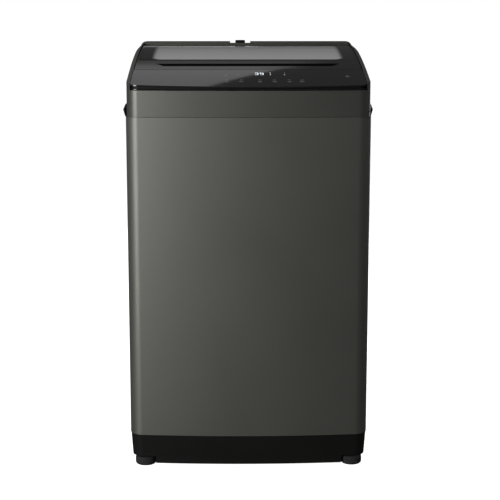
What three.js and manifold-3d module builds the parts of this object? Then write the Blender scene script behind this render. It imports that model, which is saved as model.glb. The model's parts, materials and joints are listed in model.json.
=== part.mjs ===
// A top-load washing machine, built as the separate pieces that it comes apart into on a bench.
// Millimetres, +Z up, +Y to the back, +X to the right of someone who faces the front.
// The origin is on the floor, under the middle of the machine.
import * as THREE from "three";
import { mergeVertices } from "three/addons/utils/BufferGeometryUtils.js";
import Module from "manifold-3d";

const wasm = await Module();
wasm.setup();

// ---- Driving dimensions ----
const WIDTH = 550;
const DEPTH = 560;
const HEIGHT = 963;
const FRONT = -DEPTH / 2;
const BACK = DEPTH / 2;
const FRONT_BOW_RADIUS = 2450; // the front is bowed outwards by about 12 mm
const CORNER_RADIUS = 32;
const SHEET = 1; // steel sheet
const WALL = 3; // moulded plastic
const GAP = 0.3; // kept between pieces that touch

const APRON_LOW = 6;
const SKIRT_LOW = 22;
const CABINET_LOW = 75;
const SHELF_TOP = 85; // the base's shelf, level with the lip that locates the cabinet
const SEAM = 810; // the cabinet ends and the top cover begins
const BAND_TOP = 869; // top edge of the top cover's front band
const CABINET_BACK = BACK - 2;

const POCKET_HALF_WIDTH = 263.5; // the opening in the top cover that the console and the lid fill
const CONSOLE_BACK = -140.4;
const POCKET_BACK = 250;
const DECK_DROP = 26; // the deck under the lid, below the arched top surface
const LID_SINK = 4; // the lid's rear edge lies this far below the arch
const REAR_BEAD = 961; // the top cover rises to this height along its rear edge

const TUB_RADIUS = 236;
const TUB_WALL = 4;
const TUB_LOW = 222;
const TUB_TOP = 772;
const BASKET_RADIUS = 222;
const BASKET_LOW = 250;
const BASKET_TOP = 715;
const RING_TOP = 768;
const BASKET_WALL = 0.7;

const PULLEY_PLANE = 104; // height of the belt's middle
const PULLEY_PITCH = 84;
const MOTOR_PITCH = 24;
const BELT_THICKNESS = 5;
const BELT_WIDTH = 10;
const BELT_SLACK = 0.8; // the belt's facets stay clear of the groove
const MOTOR_X = -150;
const DRAIN = { x: 125, y: 130 };

const ROD_X = 228;
const ROD_FRONT = -206;
const ROD_BACK = 214;
const CORNERS = [
  ["front_left", -1, ROD_FRONT],
  ["front_right", 1, ROD_FRONT],
  ["rear_left", -1, ROD_BACK],
  ["rear_right", 1, ROD_BACK],
];

// ---- Materials: colour, roughness, metalness ----
const material = (color, roughness, metalness = 0) =>
  new THREE.MeshStandardMaterial({ color, roughness, metalness });
const titanium = material(0x66675f, 0.38, 0.6);
const titaniumPlastic = material(0x5d5e57, 0.45, 0.3);
const blackPlastic = material(0x161614, 0.55);
const smokedGloss = material(0x2a2a2a, 0.12);
const smokedGlass = material(0x3c3e3f, 0.05);
const galvanised = material(0x9fa3a5, 0.4, 0.8);
const stainless = material(0xb9bcbe, 0.25, 1);
const whitePlastic = material(0xd9dadb, 0.5);
const greyPlastic = material(0x9a9d9f, 0.5);
const aluminium = material(0xa7a9ab, 0.45, 0.9);
const rubber = material(0x1b1b1b, 0.8);
const boardGreen = material(0x1f5a33, 0.6);
const motorPaint = material(0x3b3f42, 0.5, 0.5);

// ---- Closed solids from three.js shapes ----

/** A three.js geometry as a manifold-3d solid, whichever way its faces pointed. */
function solid(geometry) {
  const bare = geometry.index ? geometry.toNonIndexed() : geometry;
  bare.deleteAttribute("normal");
  bare.deleteAttribute("uv");
  const merged = mergeVertices(bare, 1e-3);
  const at = merged.attributes.position;
  const corners = [new THREE.Vector3(), new THREE.Vector3(), new THREE.Vector3()];
  const faces = [];
  let volume = 0;
  for (let i = 0; i < merged.index.count; i += 3) {
    const face = [0, 1, 2].map((k) => merged.index.getX(i + k));
    if (new Set(face).size < 3) continue;
    face.forEach((v, k) => corners[k].fromBufferAttribute(at, v));
    volume += corners[0].dot(corners[1].cross(corners[2]));
    faces.push(face);
  }
  if (volume < 0) faces.forEach((face) => face.reverse());
  return new wasm.Manifold(
    new wasm.Mesh({ numProp: 3, vertProperties: at.array, triVerts: new Uint32Array(faces.flat()) }),
  );
}

/** A manifold-3d solid as a three.js geometry. */
function geometryOf(body) {
  const mesh = body.getMesh();
  const geometry = new THREE.BufferGeometry();
  geometry.setAttribute("position", new THREE.BufferAttribute(mesh.vertProperties, 3));
  geometry.setIndex(new THREE.BufferAttribute(mesh.triVerts, 1));
  geometry.computeVertexNormals();
  return geometry;
}

const join = (first, ...rest) => rest.reduce((whole, piece) => whole.add(piece), first);
const cut = (first, ...rest) => rest.reduce((whole, piece) => whole.subtract(piece), first);
const points = (pairs) => pairs.map(([x, y]) => new THREE.Vector2(x, y));

/** A block between two values on each axis. */
function block([x0, x1], [y0, y1], [z0, z1]) {
  const box = new THREE.BoxGeometry(x1 - x0, y1 - y0, z1 - z0);
  return solid(box.translate((x0 + x1) / 2, (y0 + y1) / 2, (z0 + z1) / 2));
}

/** An outline seen from above, raised from z0 to z1. */
function raised(outline, [z0, z1]) {
  const shape = new THREE.Shape(outline);
  const depth = z1 - z0;
  return solid(new THREE.ExtrudeGeometry(shape, { depth, bevelEnabled: false }).translate(0, 0, z0));
}

/** An outline of [y, z] pairs seen from the right side, stretched from x0 to x1. */
function acrossX(outline, [x0, x1]) {
  const shape = new THREE.Shape(points(outline));
  const geometry = new THREE.ExtrudeGeometry(shape, { depth: x1 - x0, bevelEnabled: false });
  const turn = new THREE.Matrix4().makeBasis(
    new THREE.Vector3(0, 1, 0),
    new THREE.Vector3(0, 0, 1),
    new THREE.Vector3(1, 0, 0),
  );
  return solid(geometry.applyMatrix4(turn).translate(x0, 0, 0));
}

/** An outline of [x, z] pairs seen from the front, stretched from y0 to y1. */
function acrossY(outline, [y0, y1]) {
  const shape = new THREE.Shape(points(outline));
  const geometry = new THREE.ExtrudeGeometry(shape, { depth: y1 - y0, bevelEnabled: false });
  return solid(geometry.rotateX(Math.PI / 2).translate(0, y1, 0));
}

/** A profile of [radius, height] pairs turned about a vertical axis at (x, y). */
function turned(profile, segments, x = 0, y = 0) {
  return solid(
    new THREE.LatheGeometry(points(profile), segments).rotateX(Math.PI / 2).translate(x, y, 0),
  );
}

/** The same for a ring, whose profile closes on itself. */
const turnedRing = (profile, segments, x = 0, y = 0) =>
  turned([...profile, profile[0]], segments, x, y);

/** An upright cylinder. */
const post = (x, y, radius, [z0, z1], segments = 16) =>
  turned([[0, z0], [radius, z0], [radius, z1], [0, z1]], segments, x, y);

/** A cylinder along X. */
function pinX(y, z, radius, [x0, x1], segments = 16) {
  const rod = new THREE.CylinderGeometry(radius, radius, x1 - x0, segments);
  return solid(rod.rotateZ(Math.PI / 2).translate((x0 + x1) / 2, y, z));
}

/** A cylinder along Y. */
function pinY(x, z, radius, [y0, y1], segments = 16) {
  const rod = new THREE.CylinderGeometry(radius, radius, y1 - y0, segments);
  return solid(rod.translate(0, (y0 + y1) / 2, 0).translate(x, 0, z));
}

/** Points on an arc, ends included. */
function arc(cx, cy, radius, from, to, steps) {
  return [...Array(steps + 1).keys()].map((i) => {
    const angle = from + ((to - from) * i) / steps;
    return new THREE.Vector2(cx + radius * Math.cos(angle), cy + radius * Math.sin(angle));
  });
}

/** A rectangle with round corners. */
function roundedRectangle([x0, x1], [y0, y1], radius, steps = 5) {
  const quarter = Math.PI / 2;
  return [
    ...arc(x1 - radius, y0 + radius, radius, -quarter, 0, steps),
    ...arc(x1 - radius, y1 - radius, radius, 0, quarter, steps),
    ...arc(x0 + radius, y1 - radius, radius, quarter, 2 * quarter, steps),
    ...arc(x0 + radius, y0 + radius, radius, 2 * quarter, 3 * quarter, steps),
  ];
}

// ---- The two shapes that every outer piece shares ----

/** The machine seen from above: a bowed front, round front corners and straight sides. */
function planOutline(inset, back, backRadius = 6) {
  const half = Math.PI / 2;
  const cornerX = WIDTH / 2 - CORNER_RADIUS;
  const bowY = FRONT + FRONT_BOW_RADIUS;
  const reach = FRONT_BOW_RADIUS - CORNER_RADIUS;
  const cornerY = bowY - Math.sqrt(reach ** 2 - cornerX ** 2);
  const swing = Math.asin(cornerX / reach);
  const side = WIDTH / 2 - inset;
  return [
    ...arc(0, bowY, FRONT_BOW_RADIUS - inset, -half - swing, -half + swing, 8),
    ...arc(cornerX, cornerY, CORNER_RADIUS - inset, -half + swing, 0, 4).slice(1),
    ...arc(side - backRadius, back - backRadius, backRadius, 0, half, 3),
    ...arc(backRadius - side, back - backRadius, backRadius, half, 2 * half, 3),
    ...arc(-cornerX, cornerY, CORNER_RADIUS - inset, -2 * half, -half - swing, 4).slice(0, -1),
  ];
}

const TOP_ARCH = new THREE.CubicBezierCurve(
  new THREE.Vector2(FRONT, 878),
  new THREE.Vector2(-130, 913),
  new THREE.Vector2(60, 951),
  new THREE.Vector2(BACK, 957),
);

/** Height of the arched top surface at y. */
function archHeight(y) {
  let low = 0;
  let high = 1;
  for (let i = 0; i < 40; i++) {
    const middle = (low + high) / 2;
    if (TOP_ARCH.getPoint(middle).x < y) low = middle;
    else high = middle;
  }
  return TOP_ARCH.getPoint(low).y;
}

/** Points along a curve of heights from y0 to y1, lowered by drop, as [y, z] pairs. */
function archLine(y0, y1, drop, steps = 10, height = archHeight) {
  return [...Array(steps + 1).keys()].map((i) => {
    const y = y0 + ((y1 - y0) * i) / steps;
    return [y, height(y) - drop];
  });
}

/** A slab that follows that curve, from top to bottom mm below it. */
function archSlab(xs, [y0, y1], top, bottom, steps, height = archHeight) {
  return acrossX(
    [...archLine(y0, y1, top, steps, height), ...archLine(y1, y0, bottom, steps, height)],
    xs,
  );
}

// ---- Outer casing ----

const GRIP_SPAN = [-150, -46]; // the carrying grips, along Y
const REAR_SPIGOT = { x: -170, z: 150 };
const CORD_EXIT = { x: 200, z: 120 };

/** The wrap-round steel cabinet, open at the back between two flanges. */
function cabinet() {
  const span = [CABINET_LOW, SEAM];
  const wrap = cut(
    raised(planOutline(0, CABINET_BACK, 4), span),
    raised(planOutline(SHEET, CABINET_BACK - SHEET, 3), [CABINET_LOW - 1, SEAM + 1]),
    block([-245, 245], [CABINET_BACK - 8, BACK], [CABINET_LOW - 1, SEAM + 1]),
  );
  const gripHole = (x) => block([x - 10, x + 10], GRIP_SPAN, [770.7, SEAM + 1]);
  return cut(wrap, gripHole(WIDTH / 2), gripHole(-WIDTH / 2));
}

/** The service panel screwed over the cabinet's open back, with two pressed ribs. */
function rearCover() {
  const inner = CABINET_BACK + GAP;
  const sheet = block([-262, 262], [inner, inner + SHEET], [80, SEAM - 2]);
  const rib = (x) => block([x - 12, x + 12], [inner + SHEET / 2, BACK], [240, 700]);
  return cut(
    join(sheet, rib(-110), rib(110)),
    pinY(REAR_SPIGOT.x, REAR_SPIGOT.z, 20, [inner - 1, BACK + 1]),
    pinY(CORD_EXIT.x, CORD_EXIT.z, 10, [inner - 1, BACK + 1]),
  );
}

const FEET = [
  ["front_left", -240, -246],
  ["front_right", 240, -246],
  ["rear_left", -238, 236],
  ["rear_right", 238, 236],
];

/** The moulded base: a skirt, a front apron, a shelf and four bosses for the feet. */
function base() {
  const back = CABINET_BACK - SHEET;
  const ring = (inset, z) =>
    cut(raised(planOutline(inset, back - 1), z), raised(planOutline(inset + WALL, back - 1 - WALL), z));
  const skirt = ring(1, [SKIRT_LOW, CABINET_LOW - GAP]);
  const lip = ring(SHEET + GAP + 0.2, [CABINET_LOW - 6, SHELF_TOP]);
  const apron = ring(1, [APRON_LOW, SKIRT_LOW + 1]).intersect(
    block([-214, 214], [FRONT - 1, -200], [0, SKIRT_LOW + 1]),
  );
  const shelf = cut(
    raised(planOutline(2, back - 2), [SHELF_TOP - 4, SHELF_TOP]),
    raised(roundedRectangle([-205, 205], [-205, 205], 70), [SHELF_TOP - 10, SHELF_TOP + 10]),
  );
  const bosses = FEET.map(([, x, y]) => post(x, y, 18, [27, SHELF_TOP - 2]));
  const bores = FEET.map(([, x, y]) => post(x, y, 6.5, [20, SHELF_TOP + 5], 16));
  return cut(join(skirt, lip, apron, shelf, ...bosses), ...bores);
}

/** A levelling foot: a round pad with a collar, and its stud. */
function foot(x, y) {
  const pad = [[0, 0], [19, 0], [22, 3], [22, 17], [19, 20], [9, 20], [9, 26], [5, 26], [5, 62], [0, 62]];
  return turned(pad, 14, x, y);
}

/** A carrying grip: a cup sunk in the side, with a hooked lip. Drawn for the right side. */
function sideGrip(side) {
  const lip = WIDTH / 2 + 12.8;
  const section = [
    [248, 771], [248, 825.7], [272.9, 825.7], [272.9, 832], [282.5, 830.5], [lip, 818],
    [lip - 4.5, 802], [lip - 7.2, 802], [lip - 3.3, 817.4], [280.8, 827.4], [276, 822.7],
    [251, 822.7], [251, 774], [277.3, 774], [277.3, 766], [275.3, 766], [275.3, 771],
  ];
  const endSection = [[248, 771], [275.3, 771], [275.3, 825.7], [248, 825.7]];
  const mirrored = (outline) => outline.map(([x, z]) => [x * side, z]);
  const [y0, y1] = [GRIP_SPAN[0] + GAP, GRIP_SPAN[1] - GAP];
  return join(
    acrossY(mirrored(section), [y0, y1]),
    acrossY(mirrored(endSection), [y0, y0 + 2.5]),
    acrossY(mirrored(endSection), [y1 - 2.5, y1]),
  );
}

// ---- Top cover, console and what sits in them ----

const INLET = { x: -16, y: 266.5, radius: 13.2, bore: 9 };
const NOTCH = { x: [-42, 10], floor: 925 };
const LOADING_HOLE = roundedRectangle([-190, 190], [-118, 165], 100, 6);
const LOADING_SKIRT = roundedRectangle([-193, 193], [-121, 168], 103, 6);
const HINGE = { y: 235, z: archHeight(235) - LID_SINK - 9, radius: 4 };
const LOCK = { x: 225, y: [-95, -60] };
const DRAWER_MOUTH = { x: [-72, 72], z: [848, 902] };

/** The region of the top cover's plan under the arch and the rear bead, lowered by drop. */
function underArch(inset, back, backRadius, low, drop) {
  const beadStart = POCKET_BACK + 2.5;
  const side = acrossX(
    [
      [FRONT - 20, low], [BACK + 20, low], [BACK + 20, REAR_BEAD - drop], [BACK - 8, REAR_BEAD - drop],
      ...archLine(beadStart, FRONT, drop, 16), [FRONT - 20, archHeight(FRONT) - drop - 4],
    ],
    [-WIDTH, WIDTH],
  );
  return side.intersect(raised(planOutline(inset, back, backRadius), [low, HEIGHT + 40]));
}

/** The pocket that holds the console in front and the lid behind it. */
function topPocket() {
  const xs = [-POCKET_HALF_WIDTH, POCKET_HALF_WIDTH];
  const sky = HEIGHT + 30;
  const lidPart = acrossX(
    [...archLine(CONSOLE_BACK - 2, POCKET_BACK, DECK_DROP, 12), [POCKET_BACK, sky], [CONSOLE_BACK - 2, sky]],
    xs,
  );
  const consoleBox = raised(planOutline(6, BACK), [840, sky]).intersect(
    block(xs, [FRONT, CONSOLE_BACK - 2], [840, sky]),
  );
  const openFront = block(xs, [FRONT - 10, CONSOLE_BACK - 2], [BAND_TOP, sky]);
  return join(lidPart, consoleBox, openFront);
}

/** The walls and floor round that pocket. */
function pocketLining() {
  const xs = [-POCKET_HALF_WIDTH - WALL, POCKET_HALF_WIDTH + WALL];
  const back = POCKET_BACK + 2.5;
  const sky = HEIGHT + 30;
  return join(
    acrossX(
      [...archLine(CONSOLE_BACK - 2, back, DECK_DROP + WALL, 12), [back, sky], [CONSOLE_BACK - 2, sky]],
      xs,
    ),
    block(xs, [FRONT, CONSOLE_BACK + 1], [840 - WALL, sky]),
  );
}

/** The moulded top cover: front band, side rims, rear deck, lid pocket and loading skirt. */
function topCover() {
  const low = SEAM + GAP;
  const body = underArch(2.4, BACK, 18, low, 0);
  const hollow = underArch(2.4 + WALL, BACK - WALL, 15, low - 5, WALL);
  const notch = block(NOTCH.x, [POCKET_BACK + 2.5, BACK + 5], [NOTCH.floor, HEIGHT + 30]);
  const notchLining = block(
    [NOTCH.x[0] - WALL, NOTCH.x[1] + WALL],
    [POCKET_BACK, BACK],
    [NOTCH.floor - WALL, HEIGHT + 30],
  );
  const skirt = raised(LOADING_SKIRT, [SEAM + 5, HEIGHT]).intersect(
    underArch(10, BACK - 10, 10, SEAM, DECK_DROP + 1),
  );
  const gripHole = (x) => block([x - 20, x + 20], GRIP_SPAN, [SEAM - 1, 826.2]);
  return cut(
    join(cut(body, hollow), pocketLining().intersect(body), notchLining.intersect(body), skirt),
    topPocket(),
    notch,
    raised(LOADING_HOLE, [SEAM - 10, HEIGHT + 30]),
    post(INLET.x, INLET.y, 10.4, [NOTCH.floor - 10, NOTCH.floor + 10], 24),
    block(DRAWER_MOUTH.x, [160, 172], DRAWER_MOUTH.z),
    block([LOCK.x - 6, LOCK.x + 6], LOCK.y, [870, 930]),
    pinX(HINGE.y, HINGE.z, HINGE.radius + 0.5, [-268, 268]),
    gripHole(WIDTH / 2),
    gripHole(-WIDTH / 2),
  );
}

const CONSOLE_HALF_WIDTH = POCKET_HALF_WIDTH - 0.9;
const PANEL_THICKNESS = 4;

/** The glossy control panel, one smooth plate with touch keys behind it. */
function controlPanel() {
  const xs = [-CONSOLE_HALF_WIDTH, CONSOLE_HALF_WIDTH];
  return archSlab(xs, [FRONT, CONSOLE_BACK], 0, PANEL_THICKNESS, 6).intersect(
    raised(planOutline(1.6, BACK), [800, HEIGHT]),
  );
}

/** The tray under the panel that carries the electronics, with the narrow ledge over the front band. */
function controlBox() {
  const outer = (edge, low, drop) => {
    const back = CONSOLE_BACK - 2.6 - edge;
    return acrossX(
      [...archLine(FRONT, back, drop, 6), [back, low], [FRONT, low]],
      [edge - CONSOLE_HALF_WIDTH, CONSOLE_HALF_WIDTH - edge],
    ).intersect(raised(planOutline(8 + edge, BACK), [800, HEIGHT]));
  };
  const ledge = raised(planOutline(3.5, BACK), [BAND_TOP + 1.4, BAND_TOP + 3.4]).intersect(
    block([-CONSOLE_HALF_WIDTH, CONSOLE_HALF_WIDTH], [FRONT, -245], [BAND_TOP, BAND_TOP + 10]),
  );
  return cut(
    join(outer(0, 840 + GAP, PANEL_THICKNESS + GAP), ledge),
    outer(2, 840 + GAP + 2, PANEL_THICKNESS - 2),
  );
}

/** The circuit board, parallel to the panel, with the display block on it. */
function controlBoard() {
  return join(
    archSlab([-75, 105], [-232, -155], 14, 15.6, 3),
    archSlab([4, 44], [-198, -162], 4.8, 14.5, 2),
  );
}

/** The water inlet valve: its threaded spigot stands in the notch of the rear deck. */
function waterInletValve() {
  const { x, y, radius, bore } = INLET;
  const valve = join(
    block([x - 20, x + 20], [POCKET_BACK + 3.2, BACK - WALL - 1], [880, 917]),
    post(x, y, 9.8, [915, NOTCH.floor + 1], 24),
    post(x, y, radius, [NOTCH.floor + GAP, HEIGHT], 24),
    block([x - 44, x - 18], [POCKET_BACK + 5, BACK - WALL - 3], [884, 912]),
  );
  return cut(valve, post(x, y, 7, [895, HEIGHT - 10], 20), post(x, y, bore, [HEIGHT - 22, HEIGHT + 1], 20));
}

/** The case that the detergent drawer slides in, open towards the tub. */
function dispenserHousing() {
  return cut(
    block([-75, 75], [168.4, 245], [845, 906]),
    block([-72.5, 72.5], [160, 242.5], [847.5, 903.5]),
  );
}

/** The detergent drawer: a tray behind a front with a finger notch. */
function detergentDrawer() {
  return cut(
    join(
      block([-71.4, 71.4], [165.3, 168.3], [848.6, 901.4]),
      block([-70, 70], [168, 239], [849, 888]),
    ),
    block([-67.5, 67.5], [170.5, 236.5], [851.5, 890]),
    block([-25, 25], [160, 172], [890, 903]),
  );
}

/** The lid lock's case, with the slot that the lid's tab drops into. */
function lidLockCase() {
  const [y0, y1] = LOCK.y;
  return cut(
    block([LOCK.x - 17, LOCK.x + 26], [y0 - 5, y1 + 8], [852, 885]),
    block([LOCK.x - 6, LOCK.x + 6], [y0, y1], [858, 900]),
    block([LOCK.x + 4, LOCK.x + 30], [-79.5, -70.5], [869.3, 878.7]),
  );
}

/** The bolt that the lock pushes through the tab. */
const lockBolt = () => block([LOCK.x + 6.5, LOCK.x + 22], [-78.7, -71.3], [870.2, 877.8]);

/** A steel plate in a top corner of the cabinet, which the suspension rod hangs from. */
function cornerBracket(side, y) {
  const wall = WIDTH / 2 - SHEET - GAP;
  const plate = block([205, wall], [y - 28, y + 30], [796, 799]);
  const flange = block([wall - 2, wall], [y - 28, y + 30], [772, 797]);
  const bracket = cut(join(plate, flange), post(ROD_X, y, 7, [790, 805], 12));
  return side > 0 ? bracket : bracket.mirror([1, 0, 0]);
}

/** The stub on the back that the drain hose is clamped on. */
function drainOutlet() {
  const { x, z } = REAR_SPIGOT;
  const behind = CABINET_BACK;
  return cut(
    join(pinY(x, z, 15, [250, BACK - 0.2]), pinY(x, z, 27, [behind - 3, behind])),
    pinY(x, z, 12, [245, BACK + 5]),
  );
}

/** The grommet that the mains lead leaves through. */
function cordGrommet() {
  const { x, z } = CORD_EXIT;
  const behind = CABINET_BACK;
  return cut(
    join(pinY(x, z, 9.5, [behind - 3, BACK - 0.2]), pinY(x, z, 13, [behind - 3, behind])),
    pinY(x, z, 4, [behind - 5, BACK + 5], 12),
  );
}

// ---- Lid ----

const LID_HALF_WIDTH = POCKET_HALF_WIDTH - 2.1;
const LID_THICKNESS = 18;
const LID_FRONT = CONSOLE_BACK + 2.4;
const GLASS = { halfWidth: 256, y: [-55, 222], thickness: 4 };
const WINDOW = { halfWidth: 219, y: [-36, 192] };

/** Height of the lid's upper surface, which sinks below the arch towards the hinge. */
const lidHeight = (y) => archHeight(y) - LID_SINK * ((y - LID_FRONT) / (HINGE.y - LID_FRONT)) ** 2;

/** The lid's frame: a finger trough in front, a rebate for the glass, and a rolled hinge edge. */
function lidFrame() {
  const xs = [-LID_HALF_WIDTH, LID_HALF_WIDTH];
  const plate = join(
    archSlab(xs, [LID_FRONT, HINGE.y], 0, LID_THICKNESS, 12, lidHeight),
    pinX(HINGE.y, HINGE.z, LID_THICKNESS / 2, xs, 16),
  );
  const troughFloor = lidHeight(-94) - 13;
  const trough = acrossX(
    [[-107, HEIGHT], [-107, lidHeight(-107)], [-104, troughFloor], [-82, troughFloor], [-80, HEIGHT]],
    [-220, 220],
  ).intersect(raised(points([[-194, -110], [194, -110], [218, -78], [-218, -78]]), [880, HEIGHT + 10]));
  const rebate = archSlab(
    [-GLASS.halfWidth - GAP, GLASS.halfWidth + GAP],
    [GLASS.y[0] - GAP, GLASS.y[1] + GAP],
    -20,
    GLASS.thickness + GAP,
    10,
    lidHeight,
  );
  const tab = cut(
    block([LOCK.x - 3, LOCK.x + 3], [-85, -65], [866, lidHeight(-75) - 16]),
    block([LOCK.x - 5, LOCK.x + 5], [-79.5, -70.5], [869, 879]),
  );
  const pinBore = (x0, x1) => pinX(HINGE.y, HINGE.z, HINGE.radius + 0.5, [x0, x1]);
  return cut(
    join(plate, tab),
    trough,
    rebate,
    block([-WINDOW.halfWidth, WINDOW.halfWidth], WINDOW.y, [880, HEIGHT + 10]),
    pinBore(249.5, 263),
    pinBore(-263, -249.5),
  );
}

/** The tempered glass pane. */
const lidGlass = () =>
  archSlab([-GLASS.halfWidth, GLASS.halfWidth], GLASS.y, 0, GLASS.thickness, 10, lidHeight);

/** A hinge pin, between the lid and the top cover. */
const hingePin = (side) =>
  pinX(HINGE.y, HINGE.z, HINGE.radius, side > 0 ? [250, 266.2] : [-266.2, -250], 12);

// ---- Suspension ----

/** A suspension rod, with the ball that it hangs from and the nut and washer at its foot. */
function suspensionRod(x, y) {
  const profile = [
    [0, 158], [8, 158], [8, 164], [18, 164], [18, 169], [4.5, 169], [4.5, 799.3],
    [11, 799.3], [11, 802], [6, 808], [0, 808],
  ];
  return turned(profile, 8, x, y);
}

/** The coil spring, as the tube that it fills. */
const suspensionSpring = (x, y) =>
  turnedRing([[12, 169.3], [17, 169.3], [17, 292.7], [12, 292.7]], 10, x, y);

/** The damper cup that slides on the rod and carries the tub's lug. */
const damperCup = (x, y) =>
  turnedRing([[6, 293], [18.5, 293], [18.5, 250], [22, 250], [22, 296.7], [6, 296.7]], 10, x, y);

/** One of the tub's four lugs, an arm that reaches out to a rod. */
function tubLug(x, y) {
  const reach = Math.hypot(x, y);
  const arm = new THREE.BoxGeometry(reach + 24 - 234, 40, 14);
  arm.translate((reach + 24 + 234) / 2, 0, 304).rotateZ(Math.atan2(y, x));
  return cut(solid(arm), post(x, y, 8, [290, 320], 12));
}

// ---- Tub, basket and drive ----

const SEGMENTS = 32;

/** The plastic outer tub with its lugs and bottom rib. */
function outerTub() {
  const shell = turnedRing(
    [
      [31, TUB_LOW], [100, TUB_LOW], [100, 216], [104, 216], [104, TUB_LOW], [TUB_RADIUS - 10, TUB_LOW],
      [TUB_RADIUS, TUB_LOW + 12], [TUB_RADIUS, TUB_TOP], [TUB_RADIUS - TUB_WALL, TUB_TOP],
      [TUB_RADIUS - TUB_WALL, TUB_LOW + 14], [TUB_RADIUS - 12, TUB_LOW + TUB_WALL], [31, TUB_LOW + TUB_WALL],
    ],
    SEGMENTS,
  );
  const drain = post(DRAIN.x, DRAIN.y, 16, [TUB_LOW - 5, TUB_LOW + 10], 16);
  return cut(join(shell, ...CORNERS.map(([, side, y]) => tubLug(side * ROD_X, y))), drain);
}

/** The splash ring that closes the gap above the tub. */
const tubCover = () =>
  turnedRing(
    [
      [200, 772.4], [TUB_RADIUS + 0.6, 772.4], [TUB_RADIUS + 0.6, 760], [TUB_RADIUS + 3, 760],
      [TUB_RADIUS + 3, 776], [203, 776], [203, 790], [200, 790],
    ],
    SEGMENTS,
  );

/** The spin basket: a steel drum with a floor. */
const basket = () =>
  turnedRing(
    [
      [24, BASKET_LOW], [BASKET_RADIUS - 8, BASKET_LOW], [BASKET_RADIUS, BASKET_LOW + 8],
      [BASKET_RADIUS, BASKET_TOP], [BASKET_RADIUS - BASKET_WALL, BASKET_TOP],
      [BASKET_RADIUS - BASKET_WALL, BASKET_LOW + 8.4], [BASKET_RADIUS - 8.4, BASKET_LOW + BASKET_WALL],
      [24, BASKET_LOW + BASKET_WALL],
    ],
    SEGMENTS,
  );

/** The liquid-filled balance ring on the basket's mouth. */
const balanceRing = () =>
  turnedRing(
    [
      [197, BASKET_TOP + GAP], [BASKET_RADIUS, BASKET_TOP + GAP], [BASKET_RADIUS, RING_TOP - 4],
      [BASKET_RADIUS - 4, RING_TOP], [198, RING_TOP], [194, RING_TOP - 4], [194, BASKET_TOP + 12],
    ],
    SEGMENTS,
  );

/** The cast flange that joins the basket's floor to the spin shaft. */
function hubFlange() {
  const hub = turnedRing([[16.4, 235], [30, 235], [30, 240], [60, 242], [60, 249.7], [16.4, 249.7]], 24);
  const arms = [0, 1, 2].map((i) => {
    const arm = new THREE.BoxGeometry(90, 34, 8).translate(95, 0, 245.7);
    return solid(arm.rotateZ((i * 2 * Math.PI) / 3));
  });
  return join(hub, ...arms);
}

/** The hollow shaft that spins the basket. */
const spinShaft = () => turnedRing([[9, 121], [16, 121], [16, 249], [9, 249]], 20);

/** The lint filter clipped to the basket's wall. */
function lintFilter() {
  const frame = block([-35, 35], [204, 217.4], [480, 640]);
  return cut(frame, block([-28, 28], [200, 213], [487, 633]));
}

/** The pulsator: a low dome with curved-down vanes. */
function pulsator() {
  const dome = turned(
    [[0, 253], [24, 253], [24, 256], [166, 256], [170, 262], [150, 264], [90, 268], [55, 276], [30, 298],
      [0, 304]],
    SEGMENTS,
  );
  const vanes = [...Array(6).keys()].map((i) => {
    const vane = acrossY([[30, 258], [158, 258], [158, 266], [110, 284], [60, 294], [30, 296]], [-6, 6]);
    return vane.rotate([0, 0, i * 60]);
  });
  return cut(join(dome, ...vanes), post(0, 0, 8.5, [250, 287], 20));
}

/** The shaft from the clutch pulley up to the pulsator, inside the spin shaft. */
const driveShaft = () => post(0, 0, 8, [94, 286], 20);

/** The clutch and bearing housing that both shafts run in. */
const clutchHousing = () =>
  turnedRing(
    [
      [16.8, 118], [40, 118], [40, 134], [62, 144], [62, 202], [85, 204], [85, 212], [29, 212], [29, 228],
      [16.8, 228],
    ],
    28,
  );

/** The rubber seal where the shafts enter the tub. */
const shaftSeal = () => turnedRing([[17, 228.4], [28, 228.4], [26, 234], [17, 234]], 24);

/** The steel plate that carries the clutch and the motor under the tub. */
function supportPlate() {
  return cut(
    raised(roundedRectangle([-205, 130], [-78, 78], 24), [212.3, 215.6]),
    post(0, 0, 30, [205, 220], 28),
  );
}

/** The wash motor, hung from the support plate. */
function motor() {
  return join(
    turned(
      [[0, 124], [30, 124], [34, 130], [52, 134], [56, 140], [56, 184], [50, 190], [0, 190]],
      24,
      MOTOR_X,
    ),
    block([MOTOR_X - 46, MOTOR_X + 46], [-54, -40], [180, 212]),
    block([MOTOR_X - 46, MOTOR_X + 46], [40, 54], [180, 212]),
  );
}

/** A grooved pulley whose belt runs at the given pitch radius. */
function pulley(x, pitch, bore, segments) {
  const groove = pitch - BELT_THICKNESS / 2 - BELT_SLACK;
  const rim = pitch + BELT_THICKNESS / 2 + 1;
  const half = BELT_WIDTH / 2 + GAP;
  return turnedRing(
    [
      [bore, PULLEY_PLANE - half - 2.5], [rim, PULLEY_PLANE - half - 2.5], [rim, PULLEY_PLANE - half],
      [groove, PULLEY_PLANE - half], [groove, PULLEY_PLANE + half], [rim, PULLEY_PLANE + half],
      [rim, PULLEY_PLANE + half + 2.5], [bore, PULLEY_PLANE + half + 2.5],
    ],
    segments,
    x,
  );
}

/** The motor's pulley on its shaft. */
const motorPulley = () =>
  join(pulley(MOTOR_X, MOTOR_PITCH, 5, 18), post(MOTOR_X, 0, 6, [94, 123.6], 12));

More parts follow.
